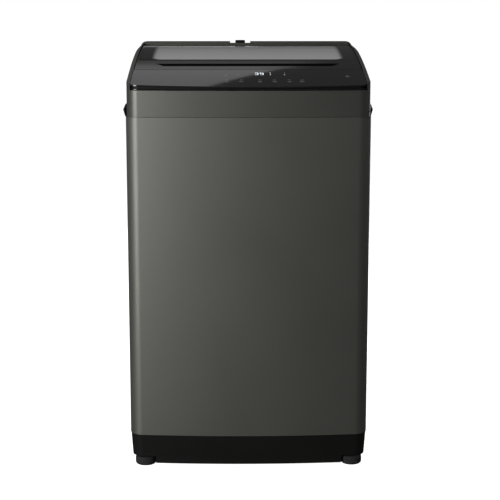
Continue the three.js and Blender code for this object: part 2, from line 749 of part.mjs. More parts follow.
/** The drive belt, round both pulleys. */
function driveBelt() {
  const lean = Math.acos((PULLEY_PITCH - MOTOR_PITCH) / Math.abs(MOTOR_X));
  const loop = (offset) => [
    ...arc(0, 0, PULLEY_PITCH + offset, lean - Math.PI, Math.PI - lean, 20),
    ...arc(MOTOR_X, 0, MOTOR_PITCH + offset, Math.PI - lean, Math.PI + lean, 8),
  ];
  const half = BELT_WIDTH / 2;
  const level = [PULLEY_PLANE - half, PULLEY_PLANE + half];
  const wide = [level[0] - 1, level[1] + 1];
  return cut(raised(loop(BELT_THICKNESS / 2), level), raised(loop(-BELT_THICKNESS / 2), wide));
}

// ---- Drain ----

/** The drain valve under the tub, with its outlet to the side. */
function drainValve() {
  const { x, y } = DRAIN;
  return cut(
    join(
      post(x, y, 26, [168, TUB_LOW - GAP]),
      pinY(x, 186, 14, [y, y + 45]),
      pinY(x, 182, 16, [y - 34, y]),
    ),
    post(x, y, 15, [200, TUB_LOW + 5], 16),
    pinY(x, 186, 11, [y + 5, y + 50], 16),
    pinY(x, 182, 6, [y - 40, y - 10], 12),
  );
}

/** The pull rod that opens the valve. */
const drainPullRod = () => pinY(DRAIN.x, 182, 4, [38, DRAIN.y - 16], 12);

/** The small geared motor that pulls the rod. */
function drainActuator() {
  return cut(
    block([DRAIN.x - 25, DRAIN.x + 25], [-20, 52], [160, 211.8]),
    pinY(DRAIN.x, 182, 5, [18, 60], 12),
  );
}

// ---- The machine ----

const machine = new THREE.Group();
const body = (label) => {
  const group = new THREE.Group();
  group.name = label;
  machine.add(group);
  return (name, shape, look) => {
    const mesh = new THREE.Mesh(geometryOf(shape), look);
    mesh.name = name;
    group.add(mesh);
  };
};

const fixed = body("casing");
fixed("cabinet", cabinet(), titanium);
fixed("rear_cover", rearCover(), galvanised);
fixed("base", base(), blackPlastic);
fixed("top_cover", topCover(), titaniumPlastic);
fixed("control_panel", controlPanel(), smokedGloss);
fixed("control_box", controlBox(), blackPlastic);
fixed("control_board", controlBoard(), boardGreen);
fixed("water_inlet_valve", waterInletValve(), blackPlastic);
fixed("dispenser_housing", dispenserHousing(), whitePlastic);
fixed("lid_lock_case", lidLockCase(), whitePlastic);
fixed("side_grip_left", sideGrip(-1), blackPlastic);
fixed("side_grip_right", sideGrip(1), blackPlastic);
fixed("cord_grommet", cordGrommet(), rubber);
fixed("drain_outlet", drainOutlet(), greyPlastic);

const hung = body("tub_assembly");
hung("outer_tub", outerTub(), greyPlastic);
hung("tub_cover", tubCover(), greyPlastic);
hung("support_plate", supportPlate(), galvanised);
hung("clutch_housing", clutchHousing(), aluminium);
hung("shaft_seal", shaftSeal(), rubber);
hung("motor", motor(), motorPaint);
hung("drive_belt", driveBelt(), rubber);
hung("drain_valve", drainValve(), greyPlastic);
hung("drain_actuator", drainActuator(), whitePlastic);

for (const [place, side, y] of CORNERS) {
  const x = side * ROD_X;
  fixed(`corner_bracket_${place}`, cornerBracket(side, y), galvanised);
  fixed(`suspension_rod_${place}`, suspensionRod(x, y), stainless);
  fixed(`suspension_spring_${place}`, suspensionSpring(x, y), stainless);
  hung(`damper_cup_${place}`, damperCup(x, y), whitePlastic);
}

const spinning = body("basket");
spinning("basket", basket(), stainless);
spinning("balance_ring", balanceRing(), greyPlastic);
spinning("hub_flange", hubFlange(), aluminium);
spinning("spin_shaft", spinShaft(), stainless);
spinning("lint_filter", lintFilter(), whitePlastic);

const washing = body("pulsator");
washing("pulsator", pulsator(), greyPlastic);
washing("drive_shaft", driveShaft(), stainless);
washing("clutch_pulley", pulley(0, PULLEY_PITCH, 8.4, 28), aluminium);

body("motor_pulley")("motor_pulley", motorPulley(), aluminium);
body("drain_pull_rod")("drain_pull_rod", drainPullRod(), whitePlastic);
body("lock_bolt")("lock_bolt", lockBolt(), whitePlastic);
body("detergent_drawer")("detergent_drawer", detergentDrawer(), whitePlastic);

const lid = body("lid");
lid("lid_frame", lidFrame(), blackPlastic);
lid("lid_glass", lidGlass(), smokedGlass);
lid("hinge_pin_left", hingePin(-1), stainless);
lid("hinge_pin_right", hingePin(1), stainless);

for (const [place, x, y] of FEET) body(`foot_${place}`)(`foot_${place}`, foot(x, y), rubber);

export default machine;
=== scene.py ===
"""A top-load washing machine in a pale studio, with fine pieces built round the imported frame.

Metres, +Z up, the front towards -Y. Every piece takes its place from the frame's own boxes.
"""

import json
import math

import bmesh
import bpy
from mathutils import Matrix, Vector


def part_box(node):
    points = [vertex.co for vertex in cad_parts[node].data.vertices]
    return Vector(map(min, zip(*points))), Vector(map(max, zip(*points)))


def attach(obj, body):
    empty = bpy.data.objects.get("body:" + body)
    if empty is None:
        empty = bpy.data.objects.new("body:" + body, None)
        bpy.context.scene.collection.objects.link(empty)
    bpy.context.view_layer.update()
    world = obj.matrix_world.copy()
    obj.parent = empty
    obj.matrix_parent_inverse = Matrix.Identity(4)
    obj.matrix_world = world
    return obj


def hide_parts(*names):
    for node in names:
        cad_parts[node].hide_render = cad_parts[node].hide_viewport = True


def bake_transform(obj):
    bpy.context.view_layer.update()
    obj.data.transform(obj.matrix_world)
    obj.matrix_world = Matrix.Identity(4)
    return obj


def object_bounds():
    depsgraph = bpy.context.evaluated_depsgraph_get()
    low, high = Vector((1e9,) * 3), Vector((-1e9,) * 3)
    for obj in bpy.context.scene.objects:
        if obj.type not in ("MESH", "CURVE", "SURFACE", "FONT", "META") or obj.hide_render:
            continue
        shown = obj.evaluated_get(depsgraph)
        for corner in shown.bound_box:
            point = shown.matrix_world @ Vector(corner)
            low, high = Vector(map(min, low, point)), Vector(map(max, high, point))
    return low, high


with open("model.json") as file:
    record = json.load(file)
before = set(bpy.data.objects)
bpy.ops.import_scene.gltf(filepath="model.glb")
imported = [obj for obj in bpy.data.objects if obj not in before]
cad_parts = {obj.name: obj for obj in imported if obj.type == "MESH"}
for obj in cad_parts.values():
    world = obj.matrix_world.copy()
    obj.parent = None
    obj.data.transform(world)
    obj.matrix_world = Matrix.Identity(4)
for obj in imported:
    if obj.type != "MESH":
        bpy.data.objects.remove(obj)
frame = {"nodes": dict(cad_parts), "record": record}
cad_low, cad_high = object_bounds()

MM = 0.001

# ---- Driving dimensions, from the frame ----
cabinet_low, cabinet_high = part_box("cabinet")
cover_low, cover_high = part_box("top_cover")
base_low, base_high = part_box("base")
panel_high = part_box("control_panel")[1]
lid_low, lid_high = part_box("lid_frame")
glass_low, glass_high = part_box("lid_glass")
valve_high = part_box("water_inlet_valve")[1]
grip_low, grip_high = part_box("side_grip_right")
pin_low, pin_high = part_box("hinge_pin_right")
tub_low, tub_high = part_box("outer_tub")
basket_low, basket_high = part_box("basket")

GAP = 0.3 * MM  # kept between pieces that touch
WIDTH = cabinet_high.x - cabinet_low.x
FRONT = cabinet_low.y
BACK = cover_high.y
SEAM = cabinet_high.z
FRONT_BOW_RADIUS = 2450 * MM
CORNER_RADIUS = 32 * MM
SIDE_STEPS = 40  # the sides are divided so that the top surface can arch
SHEET = 1 * MM
WALL = 3 * MM
COVER_INSET = WIDTH / 2 - cover_high.x
COVER_CORNER = 18 * MM  # the cover's rear corners, seen from above
BAND_TOP = 869 * MM
LID_SIDE_GAP = 2.1 * MM
POCKET_HALF_WIDTH = lid_high.x + LID_SIDE_GAP
POCKET_BACK = 250 * MM
CONSOLE_BACK = panel_high.y
DECK_DROP = 26 * MM
REAR_BEAD = 961 * MM
BEAD_START, BEAD_END = POCKET_BACK + 2.5 * MM, BACK - 8 * MM
RIM_FRONT, RIM_REAR = 2 * MM, 12 * MM  # roundness of the cover's upper edge, in front and behind
INLET = (-16 * MM, 266.5 * MM)
TRAY_FLOOR = 840 * MM  # under the console
NOTCH_X, NOTCH_FLOOR = (-42 * MM, 10 * MM), 925 * MM
LOADING_OPENING, LOADING_CORNER = ((-190 * MM, -118 * MM), (190 * MM, 165 * MM)), 100 * MM
DRAWER_MOUTH = ((-72 * MM, 160 * MM, 848 * MM), (72 * MM, 172 * MM, 902 * MM))
LOCK_SLOT = ((219 * MM, -95 * MM, 870 * MM), (231 * MM, -60 * MM, 930 * MM))
LID_FRONT = lid_low.y
LID_SINK = 4 * MM  # the lid's rear edge lies this far below the arch
LID_THICKNESS = 18 * MM
HINGE_Y = 235 * MM
HINGE_PIN = 4 * MM
WINDOW_X, WINDOW_Y, WINDOW_CORNER = 219 * MM, (-36 * MM, 192 * MM), 22 * MM
PANEL_THICKNESS = 4 * MM
GRIP_FRONT, GRIP_BACK = grip_low.y - GAP, grip_high.y + GAP
GRIP_LOW, GRIP_HIGH = 770.7 * MM, 826.2 * MM  # of the holes that the grips sit in
TOP_ARCH = [Vector(p) * MM for p in ((-280, 878), (-130, 913), (60, 951), (280, 957))]
ROUND = 96  # segments of a large round piece
MOTOR_X = -150 * MM
DRAIN = (125 * MM, 130 * MM)
SPIGOT, LEAD_EXIT = (-170 * MM, 150 * MM), (200 * MM, 120 * MM)  # (x, z) on the back
CORNERS = ["front_left", "front_right", "rear_left", "rear_right"]


def middle_of(node):
    """The (x, y) of the middle of a CAD node."""
    low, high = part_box(node)
    return ((low.x + high.x) / 2, (low.y + high.y) / 2)


# ---- Outlines ----
def arc(centre, radius, start, end, steps):
    """Points on an arc, ends included; angles in radians."""
    angles = [start + (end - start) * i / steps for i in range(steps + 1)]
    return [(centre[0] + radius * math.cos(a), centre[1] + radius * math.sin(a)) for a in angles]


def half_outline(inset, back, back_radius):
    """The machine's right half from above, from the middle of its front to the middle of its back."""
    quarter = math.pi / 2
    corner_x = WIDTH / 2 - CORNER_RADIUS
    bow_y = FRONT + FRONT_BOW_RADIUS
    reach = FRONT_BOW_RADIUS - CORNER_RADIUS
    corner_y = bow_y - math.sqrt(reach**2 - corner_x**2)
    swing = math.asin(corner_x / reach)
    side, end = WIDTH / 2 - inset, back - back_radius
    return [
        *arc((0, bow_y), FRONT_BOW_RADIUS - inset, -quarter, swing - quarter, 16),
        *arc((corner_x, corner_y), CORNER_RADIUS - inset, swing - quarter, 0, 14)[1:],
        *[(side, corner_y + (end - corner_y) * i / SIDE_STEPS) for i in range(1, SIDE_STEPS)],
        *arc((side - back_radius, end), back_radius, 0, quarter, 8),
        (0, back),
    ]


def plan_outline(inset, back=BACK, back_radius=6 * MM):
    """The machine from above: a bowed front, round front corners and straight sides."""
    right = half_outline(inset, back, back_radius)
    return right + [(-x, y) for x, y in reversed(right[1:-1])]


def rounded_rectangle(low, high, radius, steps=10):
    """A rectangle with round corners, between two opposite corners."""
    quarter = math.pi / 2
    left, right, bottom, top = low[0] + radius, high[0] - radius, low[1] + radius, high[1] - radius
    centres = [(right, bottom), (right, top), (left, top), (left, bottom)]
    return [
        point
        for i, centre in enumerate(centres)
        for point in arc(centre, radius, (i - 1) * quarter, i * quarter, steps)
    ]


def smooth_step(t):
    """Rises smoothly from 0 to 1 as t does."""
    t = min(1.0, max(0.0, t))
    return t * t * (3 - 2 * t)


def arch_point(t):
    """The point of the arch's Bezier curve at t, as (y, z)."""
    weights = ((1 - t) ** 3, 3 * t * (1 - t) ** 2, 3 * t * t * (1 - t), t**3)
    return sum((w * p for w, p in zip(weights, TOP_ARCH)), Vector((0, 0)))


def arch_height(y):
    """Height of the arched top surface at y."""
    low, high = 0.0, 1.0
    for _ in range(30):
        middle = (low + high) / 2
        if arch_point(middle).x < y:
            low = middle
        else:
            high = middle
    return arch_point(low).y


def cover_height(y):
    """Height of the top cover at y: the arch, then a rise to the bead along the rear edge."""
    if y <= BEAD_START:
        return arch_height(y)
    start = arch_height(BEAD_START)
    return start + (REAR_BEAD - start) * min(1.0, (y - BEAD_START) / (BEAD_END - BEAD_START))


def lid_height(y):
    """Height of the lid at y, which sinks below the arch towards the hinge."""
    return arch_height(y) - LID_SINK * ((y - LID_FRONT) / (HINGE_Y - LID_FRONT)) ** 2


def rim_radius(y):
    """Roundness of the cover's upper edge at y."""
    return RIM_FRONT + (RIM_REAR - RIM_FRONT) * smooth_step((y - 0.05) / 0.2)


def height_line(y0, y1, drop, steps=32, height=arch_height):
    """Points along a curve of heights from y0 to y1, lowered by drop, as (y, z)."""
    ys = [y0 + (y1 - y0) * i / steps for i in range(steps + 1)]
    return [(y, height(y) - drop) for y in ys]


HINGE_Z = lid_height(HINGE_Y) - LID_THICKNESS / 2


# ---- Mesh building ----
def mesh_piece(name, vertices, faces):
    """A new object from closed mesh data, with its faces turned outwards."""
    data = bpy.data.meshes.new(name)
    data.from_pydata([tuple(v) for v in vertices], [], faces)
    shell = bmesh.new()
    shell.from_mesh(data)
    bmesh.ops.remove_doubles(shell, verts=shell.verts, dist=1e-7)
    bmesh.ops.recalc_face_normals(shell, faces=shell.faces)
    shell.to_mesh(data)
    shell.free()
    piece = bpy.data.objects.new(name, data)
    bpy.context.scene.collection.objects.link(piece)
    return piece


def in_mm(points):
    """Pairs in millimetres as pairs in metres."""
    return [(a * MM, b * MM) for a, b in points]


def ring_faces(count, rings, first=0):
    """The faces between rings of count points, whose first point has the number first."""
    return [
        (start + i, start + (i + 1) % count, start + count + (i + 1) % count, start + count + i)
        for start in range(first, first + (rings - 1) * count, count)
        for i in range(count)
    ]


def lofted(name, rings):
    """A closed body through rings of points that match one to one, with flat ends."""
    count, last = len(rings[0]), (len(rings) - 1) * len(rings[0])
    vertices = [point for ring in rings for point in ring]
    caps = [tuple(range(count)), tuple(range(last, last + count))]
    return mesh_piece(name, vertices, ring_faces(count, len(rings)) + caps)


def extruded(name, outline, low, high, place):
    """An outline stretched from low to high; place turns (a, b, depth) into a point."""
    return lofted(name, [[place(a, b, depth) for a, b in outline] for depth in (low, high)])


def upright(name, outline, low, high):
    """An outline of (x, y) raised from one height to another."""
    return extruded(name, outline, low, high, lambda x, y, z: (x, y, z))


def crosswise(name, outline, low, high):
    """An outline of (y, z) stretched along X."""
    return extruded(name, outline, low, high, lambda y, z, x: (x, y, z))


def lengthwise(name, outline, low, high):
    """An outline of (x, z) stretched along Y."""
    return extruded(name, outline, low, high, lambda x, z, y: (x, y, z))


def box(name, low, high):
    """A block between two opposite corners."""
    outline = [(low[0], low[1]), (high[0], low[1]), (high[0], high[1]), (low[0], high[1])]
    return upright(name, outline, low[2], high[2])


def turned(name, profile, segments=96, centre=(0, 0), closed=False):
    """A profile of (radius, z) turned about an upright axis; closed joins its ends to a ring."""
    rings = []
    vertices = []
    for radius, z in profile:
        count = segments if radius > 0 else 1
        rings.append([len(vertices) + i for i in range(count)])
        for i in range(count):
            angle = 2 * math.pi * i / segments
            x = centre[0] + radius * math.cos(angle)
            vertices.append((x, centre[1] + radius * math.sin(angle), z))
    pairs = list(zip(rings, rings[1:])) + ([(rings[-1], rings[0])] if closed else [])
    faces = []
    for lower, upper in pairs:
        for i in range(segments):
            j = (i + 1) % segments
            corners = [(lower, i), (lower, j), (upper, j), (upper, i)]
            faces.append(tuple(dict.fromkeys(ring[k % len(ring)] for ring, k in corners)))
    return mesh_piece(name, vertices, [face for face in faces if len(face) > 2])


def rod(name, radius, low, high, centre=(0, 0), segments=32):
    """A plain round rod along Z."""
    return turned(name, [(0, low), (radius, low), (radius, high), (0, high)], segments, centre)


def turned_y(name, profile, centre, segments=48, closed=False):
    """A profile of (radius, y) turned about an axis along Y through centre, which is (x, z)."""
    piece = turned(name, profile, segments, closed=closed)
    move = Matrix.Translation((centre[0], 0, centre[1]))
    piece.data.transform(move @ Matrix.Rotation(-math.pi / 2, 4, "X"))
    return piece


def rounded_profile(points, radius, steps=4):
    """The same closed outline with each corner rounded, where its sides leave room."""
    rounded = []
    count = len(points)
    for i in range(count):
        here = Vector(points[i])
        before, after = Vector(points[i - 1]) - here, Vector(points[(i + 1) % count]) - here
        reach = min(radius, before.length * 0.45, after.length * 0.45)
        start, end = here + before.normalized() * reach, here + after.normalized() * reach
        for k in range(steps + 1):
            t = k / steps
            rounded.append(tuple(start * (1 - t) ** 2 + here * 2 * t * (1 - t) + end * t**2))
    return rounded


def apply_modifiers(piece):
    """Makes the piece's mesh what its modifiers show."""
    graph = bpy.context.evaluated_depsgraph_get()
    piece.data = bpy.data.meshes.new_from_object(piece.evaluated_get(graph))
    piece.modifiers.clear()
    return piece


def combine(piece, operation, tools):
    """Joins, cuts or intersects the piece with each tool, which is used up."""
    for tool in tools:
        modifier = piece.modifiers.new("shape", "BOOLEAN")
        modifier.operation = operation
        modifier.solver = "MANIFOLD"
        modifier.object = tool
        apply_modifiers(piece)
        bpy.data.objects.remove(tool)
    return piece


def cut(piece, *tools):
    return combine(piece, "DIFFERENCE", tools)


def fuse(piece, *tools):
    return combine(piece, "UNION", tools)


def keep_within(piece, *tools):
    return combine(piece, "INTERSECT", tools)


def add_bevel(piece, width, segments=2, angle=32):
    """Rounds the sharp edges, as a modifier."""
    modifier = piece.modifiers.new("round", "BEVEL")
    modifier.width = width
    modifier.segments = segments
    modifier.limit_method = "ANGLE"
    modifier.angle_limit = math.radians(angle)


def soften(piece, width, segments=2, angle=32):
    """Rounds the sharp edges for good."""
    add_bevel(piece, width, segments, angle)
    return apply_modifiers(piece)


# ---- Materials ----
def connect(tree, node, inputs):
    """Sets a node's inputs, or links them where the value is another node's output."""
    for key, value in inputs.items():
        if isinstance(value, bpy.types.NodeSocket):
            tree.links.new(value, node.inputs[key])
        else:
            node.inputs[key].default_value = value


def add_node(tree, kind, inputs=None, **settings):
    """A node of a kind, with its inputs and its settings."""
    node = tree.nodes.new(f"ShaderNode{kind}")
    for name, value in settings.items():
        setattr(node, name, value)
    connect(tree, node, inputs or {})
    return node


def noise(tree, scale, detail=3.0, stretch=(1, 1, 1)):
    """A noise texture in the object's own space."""
    place = add_node(tree, "TexCoord").outputs["Object"]
    place = add_node(tree, "Mapping", {"Vector": place, "Scale": stretch}).outputs["Vector"]
    return add_node(tree, "TexNoise", {"Vector": place, "Scale": scale, "Detail": detail}).outputs["Fac"]


def ramp(tree, source, stops):
    """Maps a value to colours at stops of (position, colour)."""
    node = add_node(tree, "ValToRGB", {"Fac": source})
    for element, (position, colour) in zip(node.color_ramp.elements, stops):
        element.position = position
        element.color = (*colour, 1)
    return node.outputs["Color"]


def map_range(tree, source, start, end, low=0.0, high=1.0, how="LINEAR"):
    """Maps a value between start and end to one between low and high."""
    inputs = {"Value": source, "From Min": start, "From Max": end, "To Min": low, "To Max": high}
    return add_node(tree, "MapRange", inputs, interpolation_type=how).outputs["Result"]


def spread(tree, source, middle, part):
    """Maps a noise to values round a middle, up to a part of it away."""
    return map_range(tree, source, 0.3, 0.7, middle * (1 - part), middle * (1 + part))


def bump(tree, source, strength, distance):
    """A bump from a value, at a distance in metres."""
    inputs = {"Height": source, "Strength": strength, "Distance": distance}
    return add_node(tree, "Bump", inputs).outputs["Normal"]


def calculate(tree, operation, first, second=0.0):
    """A sum of one or two values."""
    return add_node(tree, "Math", {0: first, 1: second}, operation=operation).outputs["Value"]


def own_axes(tree):
    """The object's own X, Y and Z."""
    place = add_node(tree, "TexCoord").outputs["Object"]
    return add_node(tree, "SeparateXYZ", {"Vector": place}).outputs


def shaded(colour, factor):
    return tuple(min(1.0, channel * factor) for channel in colour)


def new_material(name):
    """A node material and its tree."""
    made = bpy.data.materials.new(name)
    made.use_nodes = True
    return made, made.node_tree


def shade(tree, inputs):
    """Sets or links the inputs of the material's own shader."""
    connect(tree, tree.nodes["Principled BSDF"], inputs)


def surface(
    name, colour, roughness, metallic=0.0, grain=900, depth=0.02, vary=0.08, stretch=(1, 1, 1), specular=0.5
):
    """A finished surface: fine grain in the bump, and slow variation of colour and roughness."""
    made, tree = new_material(name)
    fine, slow = noise(tree, grain, 4, stretch), noise(tree, 9, 3)
    shade(tree, {
        "Metallic": metallic,
        "Specular IOR Level": specular,
        "Base Color": ramp(tree, slow, [(0.25, shaded(colour, 1 - vary)), (0.75, shaded(colour, 1 + vary))]),
        "Roughness": spread(tree, slow, roughness, 0.08),
        "Normal": bump(tree, fine, depth, 0.1 * MM),
    })
    return made


def metallic_paint(name, colour, roughness):
    """Titanium paint: aluminium flakes of slightly different brightness under a clear coat."""
    made, tree = new_material(name)
    flakes, slow, peel = noise(tree, 2600, 2), noise(tree, 5, 2), noise(tree, 320, 2)
    shade(tree, {
        "Metallic": 0.75,
        "Coat Weight": 0.1,
        "Coat Roughness": 0.22,
        "Base Color": ramp(tree, flakes, [(0.3, shaded(colour, 0.86)), (0.7, shaded(colour, 1.14))]),
        "Roughness": spread(tree, slow, roughness, 0.05),
        "Normal": bump(tree, peel, 0.02, 0.1 * MM),
    })
    return made


def glossy_plastic(name, colour, roughness, coat=0.4):
    """Moulded plastic with a polished skin and faint flow marks."""
    made, tree = new_material(name)
    flow = noise(tree, 6, 3, (1, 0.3, 0.3))
    shade(tree, {
        "Coat Weight": coat,
        "Coat Roughness": 0.05,
        "Base Color": ramp(tree, flow, [(0.3, shaded(colour, 0.9)), (0.7, shaded(colour, 1.1))]),
        "Roughness": spread(tree, flow, roughness, 0.1),
        "Normal": bump(tree, noise(tree, 60, 2), 0.01, 0.05 * MM),
    })
    return made


def lit(name, colour, strength):
    """A small lamp behind a diffuser, a little uneven."""
    made, tree = new_material(name)
    tint = ramp(tree, noise(tree, 400, 2), [(0.3, shaded(colour, 0.85)), (0.7, colour)])
    shade(tree, {"Base Color": tint, "Emission Color": tint, "Emission Strength": strength})
    return made


TITANIUM = (0.150, 0.151, 0.136)
BRUSHED = (1, 1, 0.03)  # grain drawn out along Z
MATERIALS = {
    "titanium_paint": metallic_paint("titanium_paint", TITANIUM, 0.5),
    "titanium_plastic": metallic_paint("titanium_plastic", shaded(TITANIUM, 0.80), 0.48),
    "black_plastic": surface("black_plastic", (0.008, 0.008, 0.0075), 0.55, 0, 1600, 0.25, specular=0.14),
    "smoked_panel": glossy_plastic("smoked_panel", (0.012, 0.012, 0.012), 0.06),
    "smoked_glass": glossy_plastic("smoked_glass", (0.05, 0.05, 0.05), 0.06),
    "galvanised_steel": surface("galvanised_steel", (0.42, 0.43, 0.44), 0.42, 0.9, 70, 0.1, 0.16),
    "stainless_steel": surface("stainless_steel", (0.58, 0.58, 0.57), 0.24, 1.0, 500, 0.06, 0.04, BRUSHED),
    "white_plastic": surface("white_plastic", (0.70, 0.71, 0.71), 0.4, grain=1400, depth=0.12, vary=0.03),
    "grey_plastic": surface("grey_plastic", (0.32, 0.33, 0.34), 0.45, grain=1400, depth=0.15, vary=0.05),
    "cast_aluminium": surface("cast_aluminium", (0.45, 0.46, 0.47), 0.5, 0.85, 700, 0.5, 0.08),
    "black_rubber": surface("black_rubber", (0.014, 0.014, 0.014), 0.75, grain=1200, depth=0.3, vary=0.15),
    "board_green": surface("board_green", (0.013, 0.085, 0.034), 0.35, grain=400, depth=0.2, vary=0.25),
    "motor_paint": surface("motor_paint", (0.045, 0.048, 0.052), 0.4, 0.3, 900, 0.15, 0.1),
    "panel_print": surface("panel_print", (0.26, 0.27, 0.27), 0.5, grain=1500, depth=0.05),
    "indicator_light": lit("indicator_light", (0.85, 0.92, 1.0), 1.6),
}
LID_GLOSS = glossy_plastic("lid_gloss", (0.014, 0.014, 0.014), 0.12, 0.3)
# Painted shade: a near-black surface, darker than the lid's own plastic, for the inside of the finger trough,
# where the recess lies in shadow.
TROUGH_PAINTED_SHADE = surface("painted_trough_shade", (0.002, 0.002, 0.002), 0.7, specular=0.08)


def finish(piece, body, slot, *nodes, angle=30, look=None):
    """Shades a piece, gives it its material, and hangs it on its body in place of CAD nodes."""
    dress(piece, slot, angle, look)
    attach(piece, body)
    if nodes:
        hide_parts(*nodes)
    return piece


def repaint(piece, look, chosen):
    """Gives another material to the faces that chosen picks by their middle."""
    piece.data.materials.append(look)
    for face in piece.data.polygons:
        if chosen(face.center):
            face.material_index = len(piece.data.materials) - 1


def dress(piece, slot, angle=30, look=None):
    """Shades a piece and gives it the material of its slot, or the look given."""
    piece.data.shade_smooth()
    piece.data.set_sharp_from_angle(angle=math.radians(angle))
    piece.data.materials.clear()
    piece.data.materials.append(look or MATERIALS[slot])
    normals = piece.modifiers.new("even_shading", "WEIGHTED_NORMAL")
    normals.keep_sharp = True


# ---- Cabinet ----
REAR_OPENING = 245 * MM  # half its width; the service panel closes it
VENTS_LOW, VENT_SLOTS, VENT_PITCH = 735 * MM, 7, 7 * MM
VENT_HALF, VENT_WIDTH = 26 * MM, 2.6 * MM


def make_cabinet():
    """The wrap-round sheet, with an opening at the back and the holes for the grips, its edges rounded a
    little.
    """
    low, back = cabinet_low.z, cabinet_high.y
    outer = upright("cabinet_sheet", plan_outline(0, back, 4 * MM), low, SEAM)
    inner = upright("inside", plan_outline(SHEET, back - SHEET, 3 * MM), low - MM, SEAM + MM)
    start = (-REAR_OPENING, back - 8 * MM, low - MM)
    opening = box("opening", start, (REAR_OPENING, BACK, SEAM + MM))
    holes = [
        box("hole", (x - 10 * MM, GRIP_FRONT, GRIP_LOW), (x + 10 * MM, GRIP_BACK, SEAM + MM))
        for x in (WIDTH / 2, -WIDTH / 2)
    ]
    sheet = soften(cut(outer, inner, opening, *holes), 0.45 * MM, 3)
    finish(sheet, "casing", "titanium_paint", "cabinet")


def make_rear_cover():
    """The service panel: a sheet with two pressed ribs, rows of vent slots, two round holes and its screws.
    """
    low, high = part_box("rear_cover")
    face = low.y + SHEET
    sheet = box("service_panel", (low.x, low.y, low.z), (high.x, face, high.z))
    fuse(sheet, *[pressed_rib(x, face, high.y) for x in (-0.110, 0.110)])
    start, end = low.y - MM, high.y + MM
    for place, radius in ((SPIGOT, 20 * MM), (LEAD_EXIT, 10 * MM)):
        cut(sheet, turned_y("hole", [(0, start), (radius, start), (radius, end), (0, end)], place))
    for x in (-0.19, 0.0, 0.19):
        for i in range(VENT_SLOTS):
            z = VENTS_LOW + i * VENT_PITCH
            slot = rounded_rectangle((x - VENT_HALF, z), (x + VENT_HALF, z + VENT_WIDTH), 1.2 * MM, 5)
            cut(sheet, lengthwise("vent", slot, start, end))
    soften(sheet, 0.25 * MM, 2, 25)
    finish(sheet, "casing", "galvanised_steel", "rear_cover", angle=20)
    heights = [low.z + 9 * MM + (high.z - low.z - 18 * MM) * i / 5 for i in range(6)]
    places = [(x, z) for z in heights for x in (low.x + 8 * MM, high.x - 8 * MM)]
    places += [(x, z) for z in (heights[0], heights[-1]) for x in (-0.16, 0, 0.16)]
    for i, place in enumerate(places):
        finish(panel_screw(f"panel_screw_{i + 1}", place, face, high.y), "casing", "galvanised_steel")


def pressed_rib(x, face, top):
    """A long shallow rib with sloping edges."""

    def ring(y, edge):
        half, low, high = 12 * MM - edge, 0.240 + edge, 0.700 - edge
        outline = rounded_rectangle((x - half, low), (x + half, high), 8 * MM)
        return [(px, y, pz) for px, pz in outline]

    return lofted("rib", [ring(face - 0.5 * MM, 0), ring(face, 0), ring(top, 3 * MM)])


def panel_screw(name, place, face, top):
    """A flat screw head with a cross recess."""
    edge, start = 4.4 * MM, face - 0.3 * MM
    profile = [(0, start), (edge, start), (edge, face + 0.2 * MM), (3.6 * MM, top), (0, top)]
    head = turned_y(name, profile, place, 24)
    x, z = place
    for wide, tall in in_mm([(2.2, 0.5), (0.5, 2.2)]):
        cut(head, box("slot", (x - wide, top - 0.35 * MM, z - tall), (x + wide, top + MM, z + tall)))
    return head


# ---- Top cover ----
def crown(name, inset, low, drop, tighter=0.0):
    """The body under the cover's top, lowered by drop; its upper edges are rounded, less so by tighter."""
    back, corner = BACK - (inset - COVER_INSET), COVER_CORNER - (inset - COVER_INSET)
    outer, inner = plan_outline(inset, back, corner), plan_outline(inset + MM, back - MM, corner - MM)
    rings = [[(x, y, low) for x, y in outer]]
    for k in range(9):
        angle = k / 8 * math.pi / 2
        points = []
        for (x, y), (xi, yi) in zip(outer, inner):
            radius = max(0.5 * MM, rim_radius(y) - tighter)
            travel = radius * (1 - math.cos(angle)) / MM
            px, py = x + (xi - x) * travel, y + (yi - y) * travel
            points.append((px, py, cover_height(py) - drop - radius * (1 - math.sin(angle))))
        rings.append(points)
    count = len(outer)
    vertices = [point for points in rings for point in points]
    faces = [*ring_faces(count, len(rings)), tuple(range(count))]
    top = (len(rings) - 1) * count
    # strips across the machine close the top, between points that mirror each other
    for i in range(count // 2):
        strip = (top + (count - i) % count, top + i, top + i + 1, top + count - i - 1)
        faces.append(tuple(dict.fromkeys(strip)))
    return mesh_piece(name, vertices, faces)


def lid_pocket(name, half_width, drop, back, sky):
    """The space over the deck, lowered by drop below the arch."""
    start = CONSOLE_BACK - 2 * MM
    outline = [*height_line(start, back, drop, 24), (back, sky), (start, sky)]
    return crosswise(name, outline, -half_width, half_width)


def loading_outline(grow=0.0):
    """The loading opening from above, grown by a wall."""
    (left, front), (right, back) = LOADING_OPENING
    low, high = (left - grow, front - grow), (right + grow, back + grow)
    return rounded_rectangle(low, high, LOADING_CORNER + grow, 16)


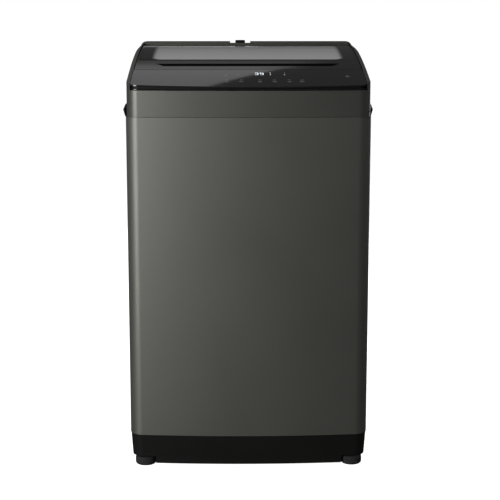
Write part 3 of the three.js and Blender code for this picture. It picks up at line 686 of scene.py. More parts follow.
def make_top_cover():
    """The moulded cover: outer shell, lid pocket with its deck, notch, and loading skirt."""
    sky = cad_high.z + 30 * MM
    low = cover_low.z
    shell = crown("cover_moulding", COVER_INSET, low, 0)
    hollow = crown("hollow", COVER_INSET + WALL, low - 5 * MM, WALL, WALL)
    wide, (left, right) = POCKET_HALF_WIDTH + WALL, NOTCH_X
    lining = fuse(
        lid_pocket("lining", wide, DECK_DROP + WALL, BEAD_START, sky),
        box("console_tray", (-wide, FRONT - MM, TRAY_FLOOR - WALL), (wide, CONSOLE_BACK + MM, sky)),
        box("notch_walls", (left - WALL, POCKET_BACK, NOTCH_FLOOR - WALL), (right + WALL, BACK + MM, sky)),
    )
    cut(hollow, lining)
    cut(shell, hollow)
    skirt = upright("skirt", loading_outline(WALL), SEAM + 5 * MM, sky)
    keep_within(skirt, crown("under_deck", COVER_INSET + 8 * MM, SEAM, DECK_DROP + MM, 8 * MM))
    fuse(shell, skirt)
    pocket_half, console_end = POCKET_HALF_WIDTH, CONSOLE_BACK - 2 * MM
    tray = upright("tray", plan_outline(6 * MM), TRAY_FLOOR, sky)
    notch = rounded_rectangle((left, BEAD_START), (right, BACK + 20 * MM), 3 * MM, 4)
    keep_within(tray, box("tray_width", (-pocket_half, FRONT, low), (pocket_half, console_end, sky)))
    cut(
        shell,
        lid_pocket("pocket", pocket_half, DECK_DROP, POCKET_BACK, sky),
        tray,
        box("over_band", (-pocket_half, FRONT - 0.01, BAND_TOP), (pocket_half, console_end, sky)),
        upright("notch", notch, NOTCH_FLOOR, sky),
        upright("loading", loading_outline(), SEAM - 10 * MM, sky),
        rod("valve_neck", 10.4 * MM, 0.9, 0.95, INLET, 48),
        box("drawer_mouth", *DRAWER_MOUTH),
        box("lock_slot", *LOCK_SLOT),
        pin_x("hinge_bore", HINGE_Y, HINGE_Z, HINGE_PIN + 0.5 * MM, -pin_high.x - MM, pin_high.x + MM),
        *[
            box("grip_hole", (x - 20 * MM, GRIP_FRONT, SEAM - MM), (x + 20 * MM, GRIP_BACK, GRIP_HIGH))
            for x in (WIDTH / 2, -WIDTH / 2)
        ],
    )
    soften(shell, 0.7 * MM, 2, 40)
    finish(shell, "casing", "titanium_plastic", "top_cover")
    # Painted shade: the pocket's side walls beside the lid, above 30 mm under the band's top, get black
    # plastic, standing in for the shadow in the narrow gap between lid and rim.
    repaint(
        shell,
        MATERIALS["black_plastic"],
        lambda at: abs(abs(at.x) - pocket_half) < 0.2 * MM and at.z > BAND_TOP - 30 * MM,
    )


def pin_x(name, y, z, radius, low, high, segments=32):
    """A round pin along X."""
    return crosswise(name, arc((y, z), radius, 0, 2 * math.pi, segments)[:-1], low, high)


def make_side_grip(name, side):
    """A carrying grip: a cup sunk in the side, with a hooked lip over the fingers."""
    lip = grip_high.x / MM
    section = [
        (248, 771), (248, 825.7), (272.9, 825.7), (272.9, 832), (282.5, 830.5), (lip, 818),
        (lip - 4.5, 802), (lip - 7.2, 802), (lip - 3.3, 817.4), (280.8, 827.4), (276, 822.7),
        (251, 822.7), (251, 774), (277.3, 774), (277.3, 766), (275.3, 766), (275.3, 771),
    ]
    ends = [(248, 771), (275.3, 771), (275.3, 825.7), (248, 825.7)]

    def slab(label, outline, radius, y0, y1):
        soft = rounded_profile([(x * side * MM, z * MM) for x, z in outline], radius, 3)
        return lengthwise(label, soft, y0, y1)

    grip = slab(name, section, 1.2 * MM, grip_low.y, grip_high.y)
    fuse(
        grip,
        slab("end", ends, 0.3 * MM, grip_low.y, grip_low.y + 2.5 * MM),
        slab("end", ends, 0.3 * MM, grip_high.y - 2.5 * MM, grip_high.y),
    )
    soften(grip, 0.6 * MM, 2, 50)
    finish(grip, "casing", "black_plastic", name)


# ---- Console ----
AROUND_CONSOLE = (800 * MM, 1000 * MM)  # heights well below and well above it
LEDGE_BACK = -244.5 * MM


def make_console():
    """The glossy plate over the electronics, a dark frame under its edge, and the ledge over the band."""
    half = panel_high.x
    skin = 3 * MM
    top_curve = height_line(FRONT, CONSOLE_BACK, 0)
    plate = crosswise("console_plate", [*top_curve, *height_line(CONSOLE_BACK, FRONT, skin)], -half, half)
    keep_within(plate, upright("plan", plan_outline(1.6 * MM), *AROUND_CONSOLE))
    soften(plate, 1.0 * MM, 4, 40)
    finish(plate, "casing", "smoked_panel", "control_panel")
    frame_back = CONSOLE_BACK - MM
    under = crosswise(
        "console_frame",
        [*height_line(FRONT, frame_back, skin - 0.2 * MM), *height_line(frame_back, FRONT, PANEL_THICKNESS)],
        MM - half,
        half - MM,
    )
    keep_within(under, upright("plan", plan_outline(4.5 * MM), *AROUND_CONSOLE))
    finish(under, "casing", "black_plastic")
    ledge = upright("console_ledge", plan_outline(3.3 * MM), BAND_TOP + 1.3 * MM, BAND_TOP + 3.5 * MM)
    low, high = AROUND_CONSOLE
    keep_within(ledge, box("ledge_width", (-half, FRONT, low), (half, LEDGE_BACK, high)))
    soften(ledge, 0.6 * MM, 3, 40)
    finish(ledge, "casing", "smoked_panel")
    make_console_marks()


def printed(name, outlines, lift=0.08 * MM):
    """Marks on the console: thin raised shapes that follow the arch."""
    vertices, faces = [], []
    for outline in outlines:
        first, count = len(vertices), len(outline)
        for depth in (-0.2 * MM, lift):
            vertices += [(x, y, arch_height(y) + depth) for x, y in outline]
        faces += ring_faces(count, 2, first)
        faces += [tuple(range(first, first + count)), tuple(range(first + count, first + 2 * count))]
    return mesh_piece(name, vertices, faces)


def bar(x, y, wide, deep):
    """The outline of a small bar round a point, in millimetres."""
    return in_mm([(x + a * wide / 2, y + b * deep / 2) for a, b in ((-1, -1), (1, -1), (1, 1), (-1, 1))])


def disc(x, y, radius):
    """The outline of a small round mark, in millimetres."""
    return in_mm(arc((x, y), radius, 0, 2 * math.pi, 24)[:-1])


def circle_mark(x, y, radius, width):
    """The outlines of a ring, as two halves, in millimetres."""
    halves = []
    for start in (0, math.pi):
        outer = arc((x, y), radius, start, start + math.pi, 16)
        inner = arc((x, y), radius - width, start + math.pi, start, 16)
        halves.append(in_mm(outer + inner))
    return halves


def digit(x, y, parts):
    """The lit bars of a seven-bar digit whose middle is at (x, y), in millimetres."""
    wide, half_height, thick = 7.0, 8.5, 1.15
    bars = {"top": (x, y + half_height), "middle": (x, y), "bottom": (x, y - half_height)}
    bars = {part: (*at, wide, thick) for part, at in bars.items()}
    for side, across in (("left", -wide / 2), ("right", wide / 2)):
        for half, up in (("upper", half_height / 2), ("lower", -half_height / 2)):
            bars[f"{half}_{side}"] = (x + across, y + up, thick, half_height - 2)
    return [bar(*bars[part]) for part in parts]


def make_console_marks():
    """A lit number, indicator dots, and plain marks over the touch keys."""
    three = ("top", "middle", "bottom", "upper_right", "lower_right")
    nine = three + ("upper_left",)
    number = printed("lit_number", digit(18.5, -177, three) + digit(30.5, -177, nine))
    finish(number, "casing", "indicator_light")
    dots = [disc(50, y, 1.1) for y in (-184, -170)] + [disc(82, y, 0.8) for y in (-184, -170)]
    finish(printed("indicator_dots", dots), "casing", "indicator_light")
    marks = circle_mark(-52, -190, 4.5, 0.7) + [bar(-52, -187.5, 0.8, 4.5), bar(-23, -184, 1.0, 9)]
    for x in (-49, -16, 26, 58, 91, 120):
        marks += circle_mark(x, -228, 3.2, 0.6)
        marks += [bar(x, -240, 12, 1.1), bar(x, -244, 7, 1.1)]
    marks += [*circle_mark(224, -200, 5, 0.7), bar(224, -196.5, 0.9, 6)]
    finish(printed("key_marks", marks), "casing", "panel_print")


def make_water_inlet():
    """The inlet valve: its body and coil under the cover, and the threaded spigot in the notch."""
    low, high = (NOTCH_FLOOR + GAP) / MM, valve_high.z / MM
    bore, neck, crest, root, pitch, foot = 9, 7, 13.2, 12.1, 2.6, 895
    profile = [(neck, foot), (neck, high - 22), (bore, high - 22), (bore, high - 0.8), (bore + 0.8, high)]
    profile += [(root - 0.3, high), (root, high - 0.6)]
    for i in range(10):
        z = high - 1.6 - i * pitch
        profile += [(root, z), (crest, z - 0.9), (crest, z - 1.4), (root, z - 2.2)]
    profile += [(root, low + 5.4), (crest, low + 4.8), (crest, low), (9.8, low), (9.8, foot)]
    valve = turned("inlet_valve", in_mm(profile), 64, INLET, closed=True)
    x, (front, back) = INLET[0], (BEAD_START + 0.7 * MM, BACK - WALL - MM)
    case = box("case", (x - 20 * MM, front, 880 * MM), (x + 20 * MM, back, 917 * MM))
    cut(case, rod("bore", neck * MM, foot * MM, 930 * MM, INLET, 48))
    coil = pin_x("coil", (front + back) / 2, 898 * MM, 9.5 * MM, x - 44 * MM, x - 18 * MM, 48)
    inset = 2.2 * MM
    yoke = box("yoke", (x - 42 * MM, front + inset, 884 * MM), (x - 22 * MM, back - inset, 889 * MM))
    fuse(valve, soften(case, 2 * MM, 3), coil, yoke)
    finish(valve, "casing", "black_plastic", "water_inlet_valve", angle=35)


# ---- Lid ----
def make_lid():
    """The lid's moulding: finger trough, rebate for the pane, and the rolled hinge edge."""
    half, front = lid_high.x, LID_FRONT
    sky = cad_high.z + 20 * MM
    top_curve = height_line(front, HINGE_Y, 0, 40, lid_height)
    outline = [*top_curve, *height_line(HINGE_Y, front, LID_THICKNESS, 40, lid_height)]
    plate = crosswise("lid_moulding", outline, -half, half)
    fuse(plate, pin_x("roll", HINGE_Y, HINGE_Z, LID_THICKNESS / 2, -half, half, 40))
    trough_plan = in_mm([(-196, -107), (196, -107), (216.5, -80), (-216.5, -80)])
    trough_floor = lid_height(-94 * MM) - 13 * MM
    trough = upright("trough", rounded_profile(trough_plan, 6 * MM, 6), trough_floor, sky)
    rebate_front, rebate_back = glass_low.y - GAP, glass_high.y + GAP
    seat = height_line(rebate_front, rebate_back, 4.3 * MM, 32, lid_height)
    pane_rebate = crosswise(
        "rebate", [*seat, (rebate_back, sky), (rebate_front, sky)], glass_low.x - GAP, glass_high.x + GAP
    )
    window_plan = rounded_rectangle((-WINDOW_X, WINDOW_Y[0]), (WINDOW_X, WINDOW_Y[1]), WINDOW_CORNER)
    window = upright("window", window_plan, 0.88, sky)
    tab = cut(
        box("tab", (0.222, -0.085, 0.866), (0.228, -0.065, lid_height(-0.075) - 16 * MM)),
        box("tab_hole", (0.220, -0.0795, 0.869), (0.230, -0.0705, 0.879)),
    )
    bore, start, end = HINGE_PIN + 0.5 * MM, pin_low.x - 0.5 * MM, half + MM
    bores = [pin_x("bore", HINGE_Y, HINGE_Z, bore, *span) for span in ((start, end), (-end, -start))]
    cut(fuse(plate, tab), trough, pane_rebate, window, *bores)
    soften(plate, 0.8 * MM, 3, 38)
    finish(plate, "lid", "black_plastic", "lid_frame", look=LID_GLOSS)
    # Painted shade: the faces inside the finger trough get the near-black material, standing in for the
    # shadow in the recess.
    repaint(
        plate,
        TROUGH_PAINTED_SHADE,
        lambda at: -0.108 < at.y < -0.079 and abs(at.x) < 0.218 and at.z < lid_height(at.y) - MM,
    )
    for side in ("left", "right"):
        low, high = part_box(f"hinge_pin_{side}")
        pin = soften(pin_x(f"pin_{side}", HINGE_Y, HINGE_Z, HINGE_PIN, low.x, high.x), 0.6 * MM, 2, 50)
        finish(pin, "lid", "stainless_steel", f"hinge_pin_{side}")


def make_pane():
    """The tempered pane, with its dark printed border."""
    thickness = 4 * MM
    outline = [
        *height_line(glass_low.y, glass_high.y, 0, 40, lid_height),
        *height_line(glass_high.y, glass_low.y, thickness, 40, lid_height),
    ]
    pane = crosswise("lid_pane", outline, glass_low.x, glass_high.x)
    soften(pane, 0.6 * MM, 2, 40)
    finish(pane, "lid", "smoked_glass", "lid_glass", look=printed_glass())


def printed_glass():
    """Tinted glass whose border fades from clear to black, as a printed frit does."""
    made, tree = new_material("printed_glass")
    place = own_axes(tree)
    half_x, half_y = WINDOW_X + 6 * MM, (WINDOW_Y[1] - WINDOW_Y[0]) / 2
    beyond = []
    for axis, centre, half in (("X", 0.0, half_x), ("Y", sum(WINDOW_Y) / 2, half_y)):
        away = calculate(tree, "ABSOLUTE", calculate(tree, "SUBTRACT", place[axis], centre))
        past_corner = calculate(tree, "SUBTRACT", away, half - WINDOW_CORNER)
        beyond.append(calculate(tree, "POWER", calculate(tree, "MAXIMUM", past_corner), 2))
    distance = calculate(tree, "SQRT", calculate(tree, "ADD", *beyond))
    border = map_range(tree, distance, WINDOW_CORNER - 9 * MM, WINDOW_CORNER + 5 * MM, how="SMOOTHSTEP")
    shade(tree, {
        "Roughness": 0.05,
        "Coat Weight": 0.3,
        "Base Color": ramp(tree, border, [(0.0, (0.85, 0.85, 0.85)), (1.0, (0.010, 0.010, 0.010))]),
        "Alpha": map_range(tree, border, 0, 1, 0.75, 1.0),
    })
    return made


# ---- Base and feet ----
def make_base():
    """The moulded base: tapered skirt, front apron, lip, a shelf round a well, and the foot bosses."""
    back = cabinet_high.y - 2 * MM
    top = cabinet_low.z - GAP
    shelf_top = base_high.z

    def skirt(name, inset, low, taper, high=top):
        tops = [(x, y, high) for x, y in plan_outline(inset, back - (inset - MM))]
        lows = [(x, y, low) for x, y in plan_outline(inset + taper, back - (inset + taper - MM))]
        return lofted(name, [lows, tops])

    taper = 3.6 * MM
    body = cut(
        skirt("base_moulding", MM, 22 * MM, taper),
        skirt("inside", MM + WALL, 21 * MM, taper, top + MM),
    )
    apron = cut(
        skirt("apron", MM + taper, base_low.z, 0.3 * MM, 23 * MM),
        skirt("apron_inside", MM + taper + WALL, base_low.z - MM, 0.3 * MM, 24 * MM),
    )
    apron_half, well = 215.5 * MM, 205 * MM
    keep_within(apron, box("front", (-apron_half, FRONT - 0.01, 0), (apron_half, -0.2, 0.03)))
    lip_inset = SHEET + 0.5 * MM
    lip = cut(
        upright("lip", plan_outline(lip_inset, back - MM), top - 5 * MM, shelf_top),
        upright("lip_inside", plan_outline(lip_inset + WALL, back - MM - WALL), 0.06, 0.09),
    )
    well_plan = rounded_rectangle((-well, -well), (well, well), 70 * MM)
    shelf = cut(
        upright("shelf", plan_outline(2 * MM, back - MM), shelf_top - 4 * MM, shelf_top),
        upright("well", well_plan, shelf_top - 10 * MM, shelf_top + 10 * MM),
    )
    feet = [middle_of(f"foot_{place}") for place in CORNERS]
    boss_low, boss_high = 27 * MM, shelf_top - 2 * MM
    fuse(body, lip, apron, shelf, *[rod("boss", 18 * MM, boss_low, boss_high, centre, 40) for centre in feet])
    cut(body, *[rod("bore", 6.5 * MM, boss_low - 0.01, shelf_top + MM, centre) for centre in feet])
    soften(body, 0.8 * MM, 2, 40)
    finish(body, "casing", "black_plastic", "base")


def make_foot(place):
    """A levelling foot: a pad with grip ribs, a collar and a threaded stud."""
    centre = middle_of(f"foot_{place}")
    ribs, radius = 26, 24.2 * MM
    outline = []
    for i in range(ribs * 8):
        angle = 2 * math.pi * i / (ribs * 8)
        reach = radius - 0.9 * MM * max(0.0, math.cos(angle * ribs)) ** 2
        outline.append((centre[0] + reach * math.cos(angle), centre[1] + reach * math.sin(angle)))
    pad = upright(f"foot_pad_{place}", outline, 0, 20 * MM)
    envelope = [
        (0, 0), (18.5, 0), (21.6, 0.8), (23.4, 2.6), (24.3, 5), (24.3, 15), (23.8, 17.6), (22, 19.4),
        (20, 20), (0, 20),
    ]
    keep_within(pad, turned("envelope", in_mm(envelope), 96, centre))
    fuse(pad, rod("collar", 9 * MM, 0.015, 0.026, centre, 6))
    finish(pad, f"{place}_foot", "black_rubber", f"foot_{place}")
    stud = threaded_stud(f"foot_stud_{place}", centre, 5 * MM, 25 * MM, 62 * MM)
    finish(stud, f"{place}_foot", "galvanised_steel")


def threaded_stud(name, centre, radius, low, high, pitch=1.5 * MM):
    """A stud with rings of thread."""
    profile = [(0, low)]
    turns = int((high - low - 2 * MM) / pitch)
    for i in range(turns):
        z = low + MM + i * pitch
        profile += [(radius - 0.9 * MM, z), (radius, z + pitch * 0.45), (radius, z + pitch * 0.55)]
    profile += [(radius - 0.9 * MM, high - MM), (radius - 1.4 * MM, high), (0, high)]
    return turned(name, profile, 24, centre)


# ---- Suspension ----
def swept_coil(name, centre, radius, wire, low, high, turns):
    """A coil spring with closed end turns, drawn as its round wire."""
    steps, sides = turns * 26, 9
    flat = 0.9 / turns  # the share of the wire in each flat end turn
    rings = []
    for i in range(steps + 1):
        along = i / steps
        angle = 2 * math.pi * turns * along
        c, s = math.cos(angle), math.sin(angle)
        rise = min(1.0, max(0.0, (along - flat) / (1 - 2 * flat)))
        end_lift = wire * 2 * (min(along, flat) + max(0.0, along - 1 + flat)) / flat
        z = low + wire + end_lift + (high - low - 6 * wire) * rise
        section = arc((radius, z), wire, 0, 2 * math.pi, sides)[:-1]
        rings.append([(centre[0] + px * c, centre[1] + px * s, pz) for px, pz in section])
    return lofted(name, rings)


def make_suspension(place):
    """A hanging rod with its coil spring, and the damper cup under the tub's lug."""
    centre = middle_of(f"suspension_rod_{place}")
    hanger = turned(
        f"rod_{place}",
        in_mm([
            (0, 158), (7.2, 158), (8, 159), (8, 164), (17, 164), (18, 165), (18, 168.2), (17, 169),
            (4.5, 169), (4.5, 799.3), (11, 799.3), (11, 801.5), (9.6, 805), (6, 807.4), (0, 808),
        ]),
        32,
        centre,
    )
    finish(hanger, "casing", "stainless_steel", f"suspension_rod_{place}")
    cup = turned(
        f"cup_{place}",
        in_mm([
            (6, 293), (18.5, 293), (18.5, 251), (19.2, 250), (21.3, 250), (22, 251), (22, 294.5), (20, 296.7),
            (7, 296.7), (6, 296),
        ]),
        48,
        centre,
        closed=True,
    )
    finish(cup, "tub_assembly", "white_plastic", f"damper_cup_{place}")
    spring_low, spring_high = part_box(f"suspension_spring_{place}")
    wire = 1.7 * MM
    spring = swept_coil(f"coil_{place}", centre, 17 * MM - wire, wire, spring_low.z, spring_high.z, 11)
    dress(spring, "stainless_steel")
    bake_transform(spring)
    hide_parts(f"suspension_spring_{place}")


# ---- Tub, basket and drive ----
def turned_part(name, node, body, slot, points, segments=ROUND, centre=(0, 0), closed=True, radius=0.0):
    """A round piece from (radius, height) pairs in millimetres, in place of a CAD node."""
    profile = in_mm(points)
    if radius:
        profile = rounded_profile(profile, radius, 3)
    piece = turned(name, profile, segments, centre, closed)
    return finish(piece, body, slot, node, angle=35)


def make_outer_tub():
    """The water tub: a plain wall, a floor with a ring rib, four lugs with holes, and the hole for the drain.
    """
    radius, wall = 236, 4
    low, high = tub_low.z / MM + 6, tub_high.z / MM
    points = [
        (31, low), (100, low), (100, low - 6), (104, low - 6), (104, low), (radius - 10, low),
        (radius - 3, low + 4), (radius, low + 12), (radius, high), (radius - wall, high),
        (radius - wall, low + 14), (radius - 5, low + 8), (radius - 12, low + wall), (31, low + wall),
    ]
    shell = turned("tub_shell", in_mm(points), ROUND, closed=True)
    for place in CORNERS:
        x, y = middle_of(f"suspension_rod_{place}")
        reach, angle = math.hypot(x, y), math.atan2(y, x)
        arm = [(0.234, -0.020), (reach + 0.012, -0.020), (reach + 0.024, -0.010)]
        arm += [(reach + 0.024, 0.010), (reach + 0.012, 0.020), (0.234, 0.020)]
        lug = upright("lug", arm, 0.297, 0.311)
        lug.data.transform(Matrix.Rotation(angle, 4, "Z"))
        fuse(shell, soften(lug, 1.5 * MM, 2))
        cut(shell, rod("hole", 8 * MM, 0.29, 0.32, (x, y)))
    cut(shell, rod("drain", 16 * MM, 0.21, 0.24, DRAIN))
    finish(shell, "tub_assembly", "grey_plastic", "outer_tub", angle=35)


def perforated_wall(name, radius, low, high, columns, rows, hole, thickness):
    """A round sheet wall with rows of round holes."""
    corners = 16
    wide, tall = 2 * math.pi * radius / columns, (high - low) / rows
    vertices, faces = [], []
    for column in range(columns):
        for row in range(rows):
            first = len(vertices)
            for k in range(corners):
                angle = 2 * math.pi * k / corners
                c, s = math.cos(angle), math.sin(angle)
                edge = 1 / max(abs(c), abs(s))
                for across, up in ((hole * c, hole * s), (wide / 2 * c * edge, tall / 2 * s * edge)):
                    turn = ((column + 0.5) * wide + across) / radius
                    height = low + (row + 0.5) * tall + up
                    vertices.append((radius * math.cos(turn), radius * math.sin(turn), height))
            for k in range(corners):
                a, b = first + 2 * k, first + 2 * ((k + 1) % corners)
                faces.append((a, a + 1, b + 1, b))
    wall = mesh_piece(name, vertices, faces)
    sheet = wall.modifiers.new("thickness", "SOLIDIFY")
    sheet.thickness = thickness
    sheet.offset = -1
    return apply_modifiers(wall)


def make_basket():
    """The spin basket: a perforated wall between two plain bands, and a floor pressed with rings."""
    radius, wall = 222, 0.7
    low, high = basket_low.z / MM, basket_high.z / MM
    hole_low, hole_high = low + 30, high - 25
    lower = [
        (24, low), (96, low), (100, low + 2.5), (112, low + 2.5), (116, low), (150, low), (154, low + 2.5),
        (166, low + 2.5), (170, low), (radius - 8, low), (radius - 2.4, low + 2.4), (radius, low + 8),
        (radius, hole_low),
    ]
    inner = [(r - wall, z + (wall if r < radius - 1 else 0)) for r, z in reversed(lower[1:])]
    floor = [*lower, *inner, (24, low + wall)]
    turned_part("basket_floor", "basket", "spin_basket", "stainless_steel", floor)
    upper = [(radius, hole_high), (radius, high), (radius - wall, high), (radius - wall, hole_high)]
    turned_part("basket_band", "basket", "spin_basket", "stainless_steel", upper)
    wall_piece = perforated_wall(
        "basket_wall", radius * MM, hole_low * MM, hole_high * MM, 48, 14, 2.6 * MM, wall * MM
    )
    finish(wall_piece, "spin_basket", "stainless_steel", "basket", angle=35)


def make_pulsator():
    """The pulsator: a low dome with six soft vanes and a cap."""
    dome = [
        (0, 253), (24, 253), (24, 256), (166, 256), (169, 258.6), (170, 261), (166, 263), (150, 264),
        (120, 265.4), (90, 268), (70, 271.5), (55, 276), (44, 283), (36, 291), (30, 298), (22, 301.6),
        (12, 303.4), (0, 304),
    ]
    piece = turned("pulsator_dome", in_mm(dome))
    vane_side = [(30, 258), (158, 258), (158, 265.4), (110, 284), (85, 290), (60, 294), (30, 296)]
    for i in range(6):
        vane = lengthwise("vane", in_mm(vane_side), -6 * MM, 6 * MM)
        soften(vane, 3.5 * MM, 4, 40)
        vane.data.transform(Matrix.Rotation(i * math.pi / 3, 4, "Z"))
        fuse(piece, vane)
    cut(piece, rod("bore", 8.5 * MM, 0.25, 0.287))
    soften(piece, 1.2 * MM, 2, 50)
    finish(piece, "wash_drive", "grey_plastic", "pulsator", angle=45)


def make_lint_filter():
    """The lint filter: a frame with a lattice, clipped to the basket's wall."""
    low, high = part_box("lint_filter")
    edge, seat, half = 7 * MM, 3 * MM, MM
    lattice = box("filter_frame", low, high)
    inside = (low.x + edge, low.y - MM, low.z + edge), (high.x - edge, high.y + MM, high.z - edge)
    cut(lattice, box("inside", *inside))
    soften(lattice, 1.5 * MM, 3)
    back = high.y - 4.4 * MM
    front = back + 2.4 * MM
    for i in range(1, 14):
        z = low.z + (high.z - low.z) * i / 14
        fuse(lattice, box("bar", (low.x + seat, back, z - half), (high.x - seat, front, z + half)))
    for i in range(1, 6):
        x = low.x + (high.x - low.x) * i / 6
        fuse(lattice, box("bar", (x - half, back, low.z + seat), (x + half, front, high.z - seat)))
    finish(lattice, "spin_basket", "white_plastic", "lint_filter")


def make_motor():
    """The wash motor: a can with a finned middle, hung on two feet."""
    can = [
        (0, 124), (28, 124), (31, 125), (34, 130), (50, 133), (54, 136), (56, 141), (56, 146), (54.6, 148),
        (54.6, 176), (56, 178), (56, 184), (54, 187), (50, 190), (0, 190),
    ]
    piece = turned("motor_can", in_mm(can), ROUND, (MOTOR_X, 0))
    for i in range(8):
        fin = box("fin", (-0.6 * MM, -55.8 * MM, 0.147), (0.6 * MM, 55.8 * MM, 0.177))
        turn = Matrix.Rotation(i * math.pi / 8, 4, "Z")
        fin.data.transform(Matrix.Translation((MOTOR_X, 0, 0)) @ turn)
        fuse(piece, fin)
    for y in (-0.054, 0.040):
        foot = box("foot", (MOTOR_X - 0.046, y, 0.180), (MOTOR_X + 0.046, y + 0.014, 0.212))
        fuse(piece, soften(foot, 2 * MM, 3))
    finish(piece, "tub_assembly", "motor_paint", "motor", angle=40)


def pulley_points(pitch, bore):
    """The section of a grooved pulley, in millimetres."""
    plane, half, flange, edge = 104, 5.3, 2.5, 1.9
    groove, rim = pitch - 3.3, pitch + 3.5
    low, high = plane - half, plane + half
    return [
        (bore, low - flange), (rim - 0.6, low - flange), (rim, low - edge), (rim, low), (groove, low),
        (groove, high), (rim, high), (rim, high + edge), (rim - 0.6, high + flange), (bore, high + flange),
    ]


def make_drive():
    """The round pieces of the tub, its seal and bearing housing, the shafts, and the pulleys of the belt
    drive.
    """
    turned_part(
        "splash_ring", "tub_cover", "tub_assembly", "grey_plastic",
        [
            (200, 772.4), (236.6, 772.4), (236.6, 760), (239, 760), (239, 776), (203, 776), (203, 790),
            (200, 790),
        ],
        radius=0.6 * MM,
    )
    turned_part(
        "liquid_ring", "balance_ring", "spin_basket", "grey_plastic",
        [(197, 715.3), (222, 715.3), (222, 764), (218, 768), (198, 768), (194, 764), (194, 727)],
        radius=3 * MM,
    )
    turned_part(
        "outer_shaft", "spin_shaft", "spin_basket", "stainless_steel",
        [(9, 121), (15.4, 121), (16, 121.6), (16, 249), (9, 249)], 48,
    )
    turned_part(
        "inner_shaft", "drive_shaft", "wash_drive", "stainless_steel",
        [(0, 94), (7.2, 94), (8, 94.8), (8, 285.2), (7.2, 286), (0, 286)], 48, closed=False,
    )
    turned_part(
        "bearing_housing", "clutch_housing", "tub_assembly", "cast_aluminium",
        [
            (16.8, 118), (40, 118), (40, 134), (62, 144), (62, 202), (85, 204), (85, 212), (29, 212),
            (29, 228), (16.8, 228),
        ],
        radius=1.5 * MM,
    )
    turned_part(
        "lip_seal", "shaft_seal", "tub_assembly", "black_rubber",
        [(17, 228.4), (28, 228.4), (26, 234), (17, 234)], 64, radius=0.8 * MM,
    )
    turned_part("big_pulley", "clutch_pulley", "wash_drive", "cast_aluminium", pulley_points(84, 8.4))
    hub = [(0, 94), (6, 94), (6, 96.2)]
    shaft = [(6, 111.8), (6, 123.6), (0, 123.6)]
    turned_part(
        "small_pulley", "motor_pulley", "motor_rotor", "cast_aluminium",
        hub + pulley_points(24, 6)[1:-1] + shaft, 64, (MOTOR_X, 0), closed=False,
    )


# ---- Drain and lead ----
def make_rear_stubs():
    """The stub that a drain hose is clamped on, and the grommet for the mains lead."""
    back = cabinet_high.y / MM
    low, high = (corner.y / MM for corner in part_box("drain_outlet"))
    stub = [
        (12, low), (12, high), (14, high), (15, high - 1), (15, back), (26.4, back), (27, back - 0.6),
        (27, back - 3), (15, back - 3), (15, low + 8), (15, low + 6), (14.2, low),
    ]
    stub_piece = turned_y("drain_stub", in_mm(stub), SPIGOT, 64, closed=True)
    finish(stub_piece, "casing", "grey_plastic", "drain_outlet")
    low, high = (corner.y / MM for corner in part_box("cord_grommet"))
    grommet = [
        (4, low), (4, high), (8.8, high), (9.5, high - 0.7), (9.5, back), (12.4, back), (13, back - 0.6),
        (13, low),
    ]
    grommet_piece = turned_y("lead_grommet", in_mm(grommet), LEAD_EXIT, 48, closed=True)
    finish(grommet_piece, "casing", "black_rubber", "cord_grommet")


# ---- Studio ----
CAMERA_PLACE = (-0.035, 3.240, 1.071)  # aside, in front, and above the floor
CAMERA_TILT = math.radians(10.677)
CAMERA_LENS, CAMERA_SHIFT = 96.4, 0.0051
SURROUND = 0.05  # how bright the room is, seen by the machine
FLOOR_SHADE = (0.20, 0.235)  # where the floor turns from dark to white, from the middle outwards


def softbox(name, location, target, size, radiance):
    """A soft rectangular light of even radiance, facing its target."""
    data = bpy.data.lights.new(name, "AREA")
    data.shape = "RECTANGLE"
    data.size, data.size_y = size
    data.energy = math.pi * size[0] * size[1] * radiance
    lamp = bpy.data.objects.new(name, data)
    lamp.location = location
    lamp.rotation_euler = (Vector(target) - Vector(location)).to_track_quat("-Z", "Y").to_euler()
    lamp.visible_camera = False
    bpy.context.scene.collection.objects.link(lamp)
    return lamp


def glow_card(name, corners, radiance, fade):
    """A dim glowing card that the glossy top mirrors, and which fades in over these heights."""
    card = mesh_piece(name, corners, [tuple(range(len(corners)))])
    made, tree = new_material(name)
    shade(tree, {
        "Base Color": (0, 0, 0, 1),
        "Emission Color": (1, 1, 1, 1),
        "Emission Strength": map_range(tree, own_axes(tree)["Z"], *fade, 0, radiance, "SMOOTHSTEP"),
    })
    card.data.materials.append(made)
    card.visible_camera = False


def pale_floor():
    """A white floor material whose glow is masked off under the machine, a painted shadow over its footprint;
    there only the lamps' real light and shade show.
    """
    made, tree = new_material("pale_floor")
    place = own_axes(tree)
    # Painted shadow: the glow fades to nothing over the machine's footprint, inwards from the outer edge of
    # FLOOR_SHADE.
    away = [map_range(tree, calculate(tree, "ABSOLUTE", place[axis]), *FLOOR_SHADE) for axis in "XY"]
    shade(tree, {
        "Base Color": ramp(tree, noise(tree, 0.7, 2), [(0.3, (0.93, 0.93, 0.93)), (0.7, (0.95, 0.95, 0.95))]),
        "Roughness": 0.9,
        "Emission Color": (1, 1, 1, 1),
        "Emission Strength": calculate(tree, "MAXIMUM", *away),
    })
    return made


def make_surround():
    """A room that is white to the camera and dim to the machine."""
    world = bpy.data.worlds.new("studio")
    bpy.context.scene.world = world
    world.use_nodes = True
    tree = world.node_tree
    seen = add_node(tree, "LightPath").outputs["Is Camera Ray"]
    strength = map_range(tree, seen, 0, 1, SURROUND, 1.0)
    connect(tree, tree.nodes["Background"], {"Color": (1, 1, 1, 1), "Strength": strength})
    bpy.context.scene.view_settings.view_transform = "Standard"


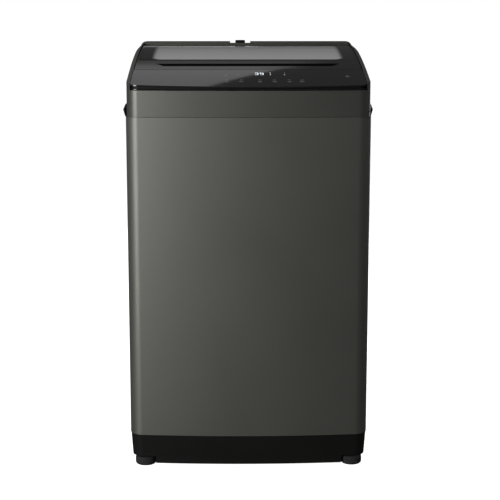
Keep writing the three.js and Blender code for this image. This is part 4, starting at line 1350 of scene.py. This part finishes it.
def make_studio():
    """A white floor, one tall softbox in front on the left, weaker ones around, and dim cards behind.

    The back softbox stays below the machine's top, so that the top doesn't mirror it.
    """
    corners = [(-30, -30, 0), (30, -30, 0), (30, 60, 0), (-30, 60, 0)]
    floor = mesh_piece("studio_floor", corners, [(0, 1, 2, 3)])
    floor.data.materials.append(pale_floor())
    floor.visible_diffuse = floor.visible_glossy = floor.visible_shadow = False
    make_surround()
    softbox("front_softbox", (-1.94, -2.40, 1.12), (0, 0, 1.12), (1.25, 2.4), 8.6)
    softbox("top_softbox", (-0.3, 0.2, 3.4), (0, 0, 0.9), (1.6, 1.6), 2.2)
    softbox("right_softbox", (2.6, 0.3, 1.2), (0, 0, 0.6), (1.8, 1.4), 5.0).visible_glossy = False
    softbox("left_softbox", (-2.6, 0.9, 1.2), (0, 0, 0.6), (1.8, 1.4), 3.0).visible_glossy = False
    softbox("back_softbox", (0.7, 2.7, 0.35), (0, 0.28, 0.5), (2.4, 0.95), 2.6)
    left, back = -1.4, 3.5
    high = [(left, back, 2.2), (0.55, back, 2.2), (-0.62, back, 3.6), (left, back, 3.6)]
    low = [(left, back, 1.05), (0.09, back, 1.05), (0.09, back, 1.45), (left, back, 1.45)]
    glow_card("high_card", high, 0.31, (2.15, 2.7))
    glow_card("low_card", low, 0.3, (1.0, 1.1))


def make_camera():
    """A camera a little above the machine's top, nearly in front of it and tilted down."""
    data = bpy.data.cameras.new("camera")
    data.sensor_width = 36
    data.lens = CAMERA_LENS
    data.shift_x = CAMERA_SHIFT
    data.clip_end = 200
    camera = bpy.data.objects.new("camera", data)
    aside, away, height = CAMERA_PLACE
    camera.location = (aside, -away, height)
    camera.rotation_euler = (math.pi / 2 - CAMERA_TILT, 0, math.atan(aside / away))
    bpy.context.scene.collection.objects.link(camera)
    bpy.context.scene.camera = camera


def dress_cad_nodes():
    """Gives every CAD node the material of its slot, and rounds its edges a little."""
    for part in frame["record"]["subparts"]:
        node = frame["nodes"][part["node"]]
        node.data.materials.clear()
        node.data.materials.append(MATERIALS[part["material_slot"]])
        add_bevel(node, 0.5 * MM, 2, 40)


make_camera()
make_studio()
dress_cad_nodes()
make_cabinet()
make_rear_cover()
make_top_cover()
make_side_grip("side_grip_left", -1)
make_side_grip("side_grip_right", 1)
make_console()
make_water_inlet()
make_lid()
make_pane()
make_base()
for place in CORNERS:
    make_foot(place)
    make_suspension(place)
make_outer_tub()
make_basket()
make_pulsator()
make_lint_filter()
make_motor()
make_drive()
make_rear_stubs()
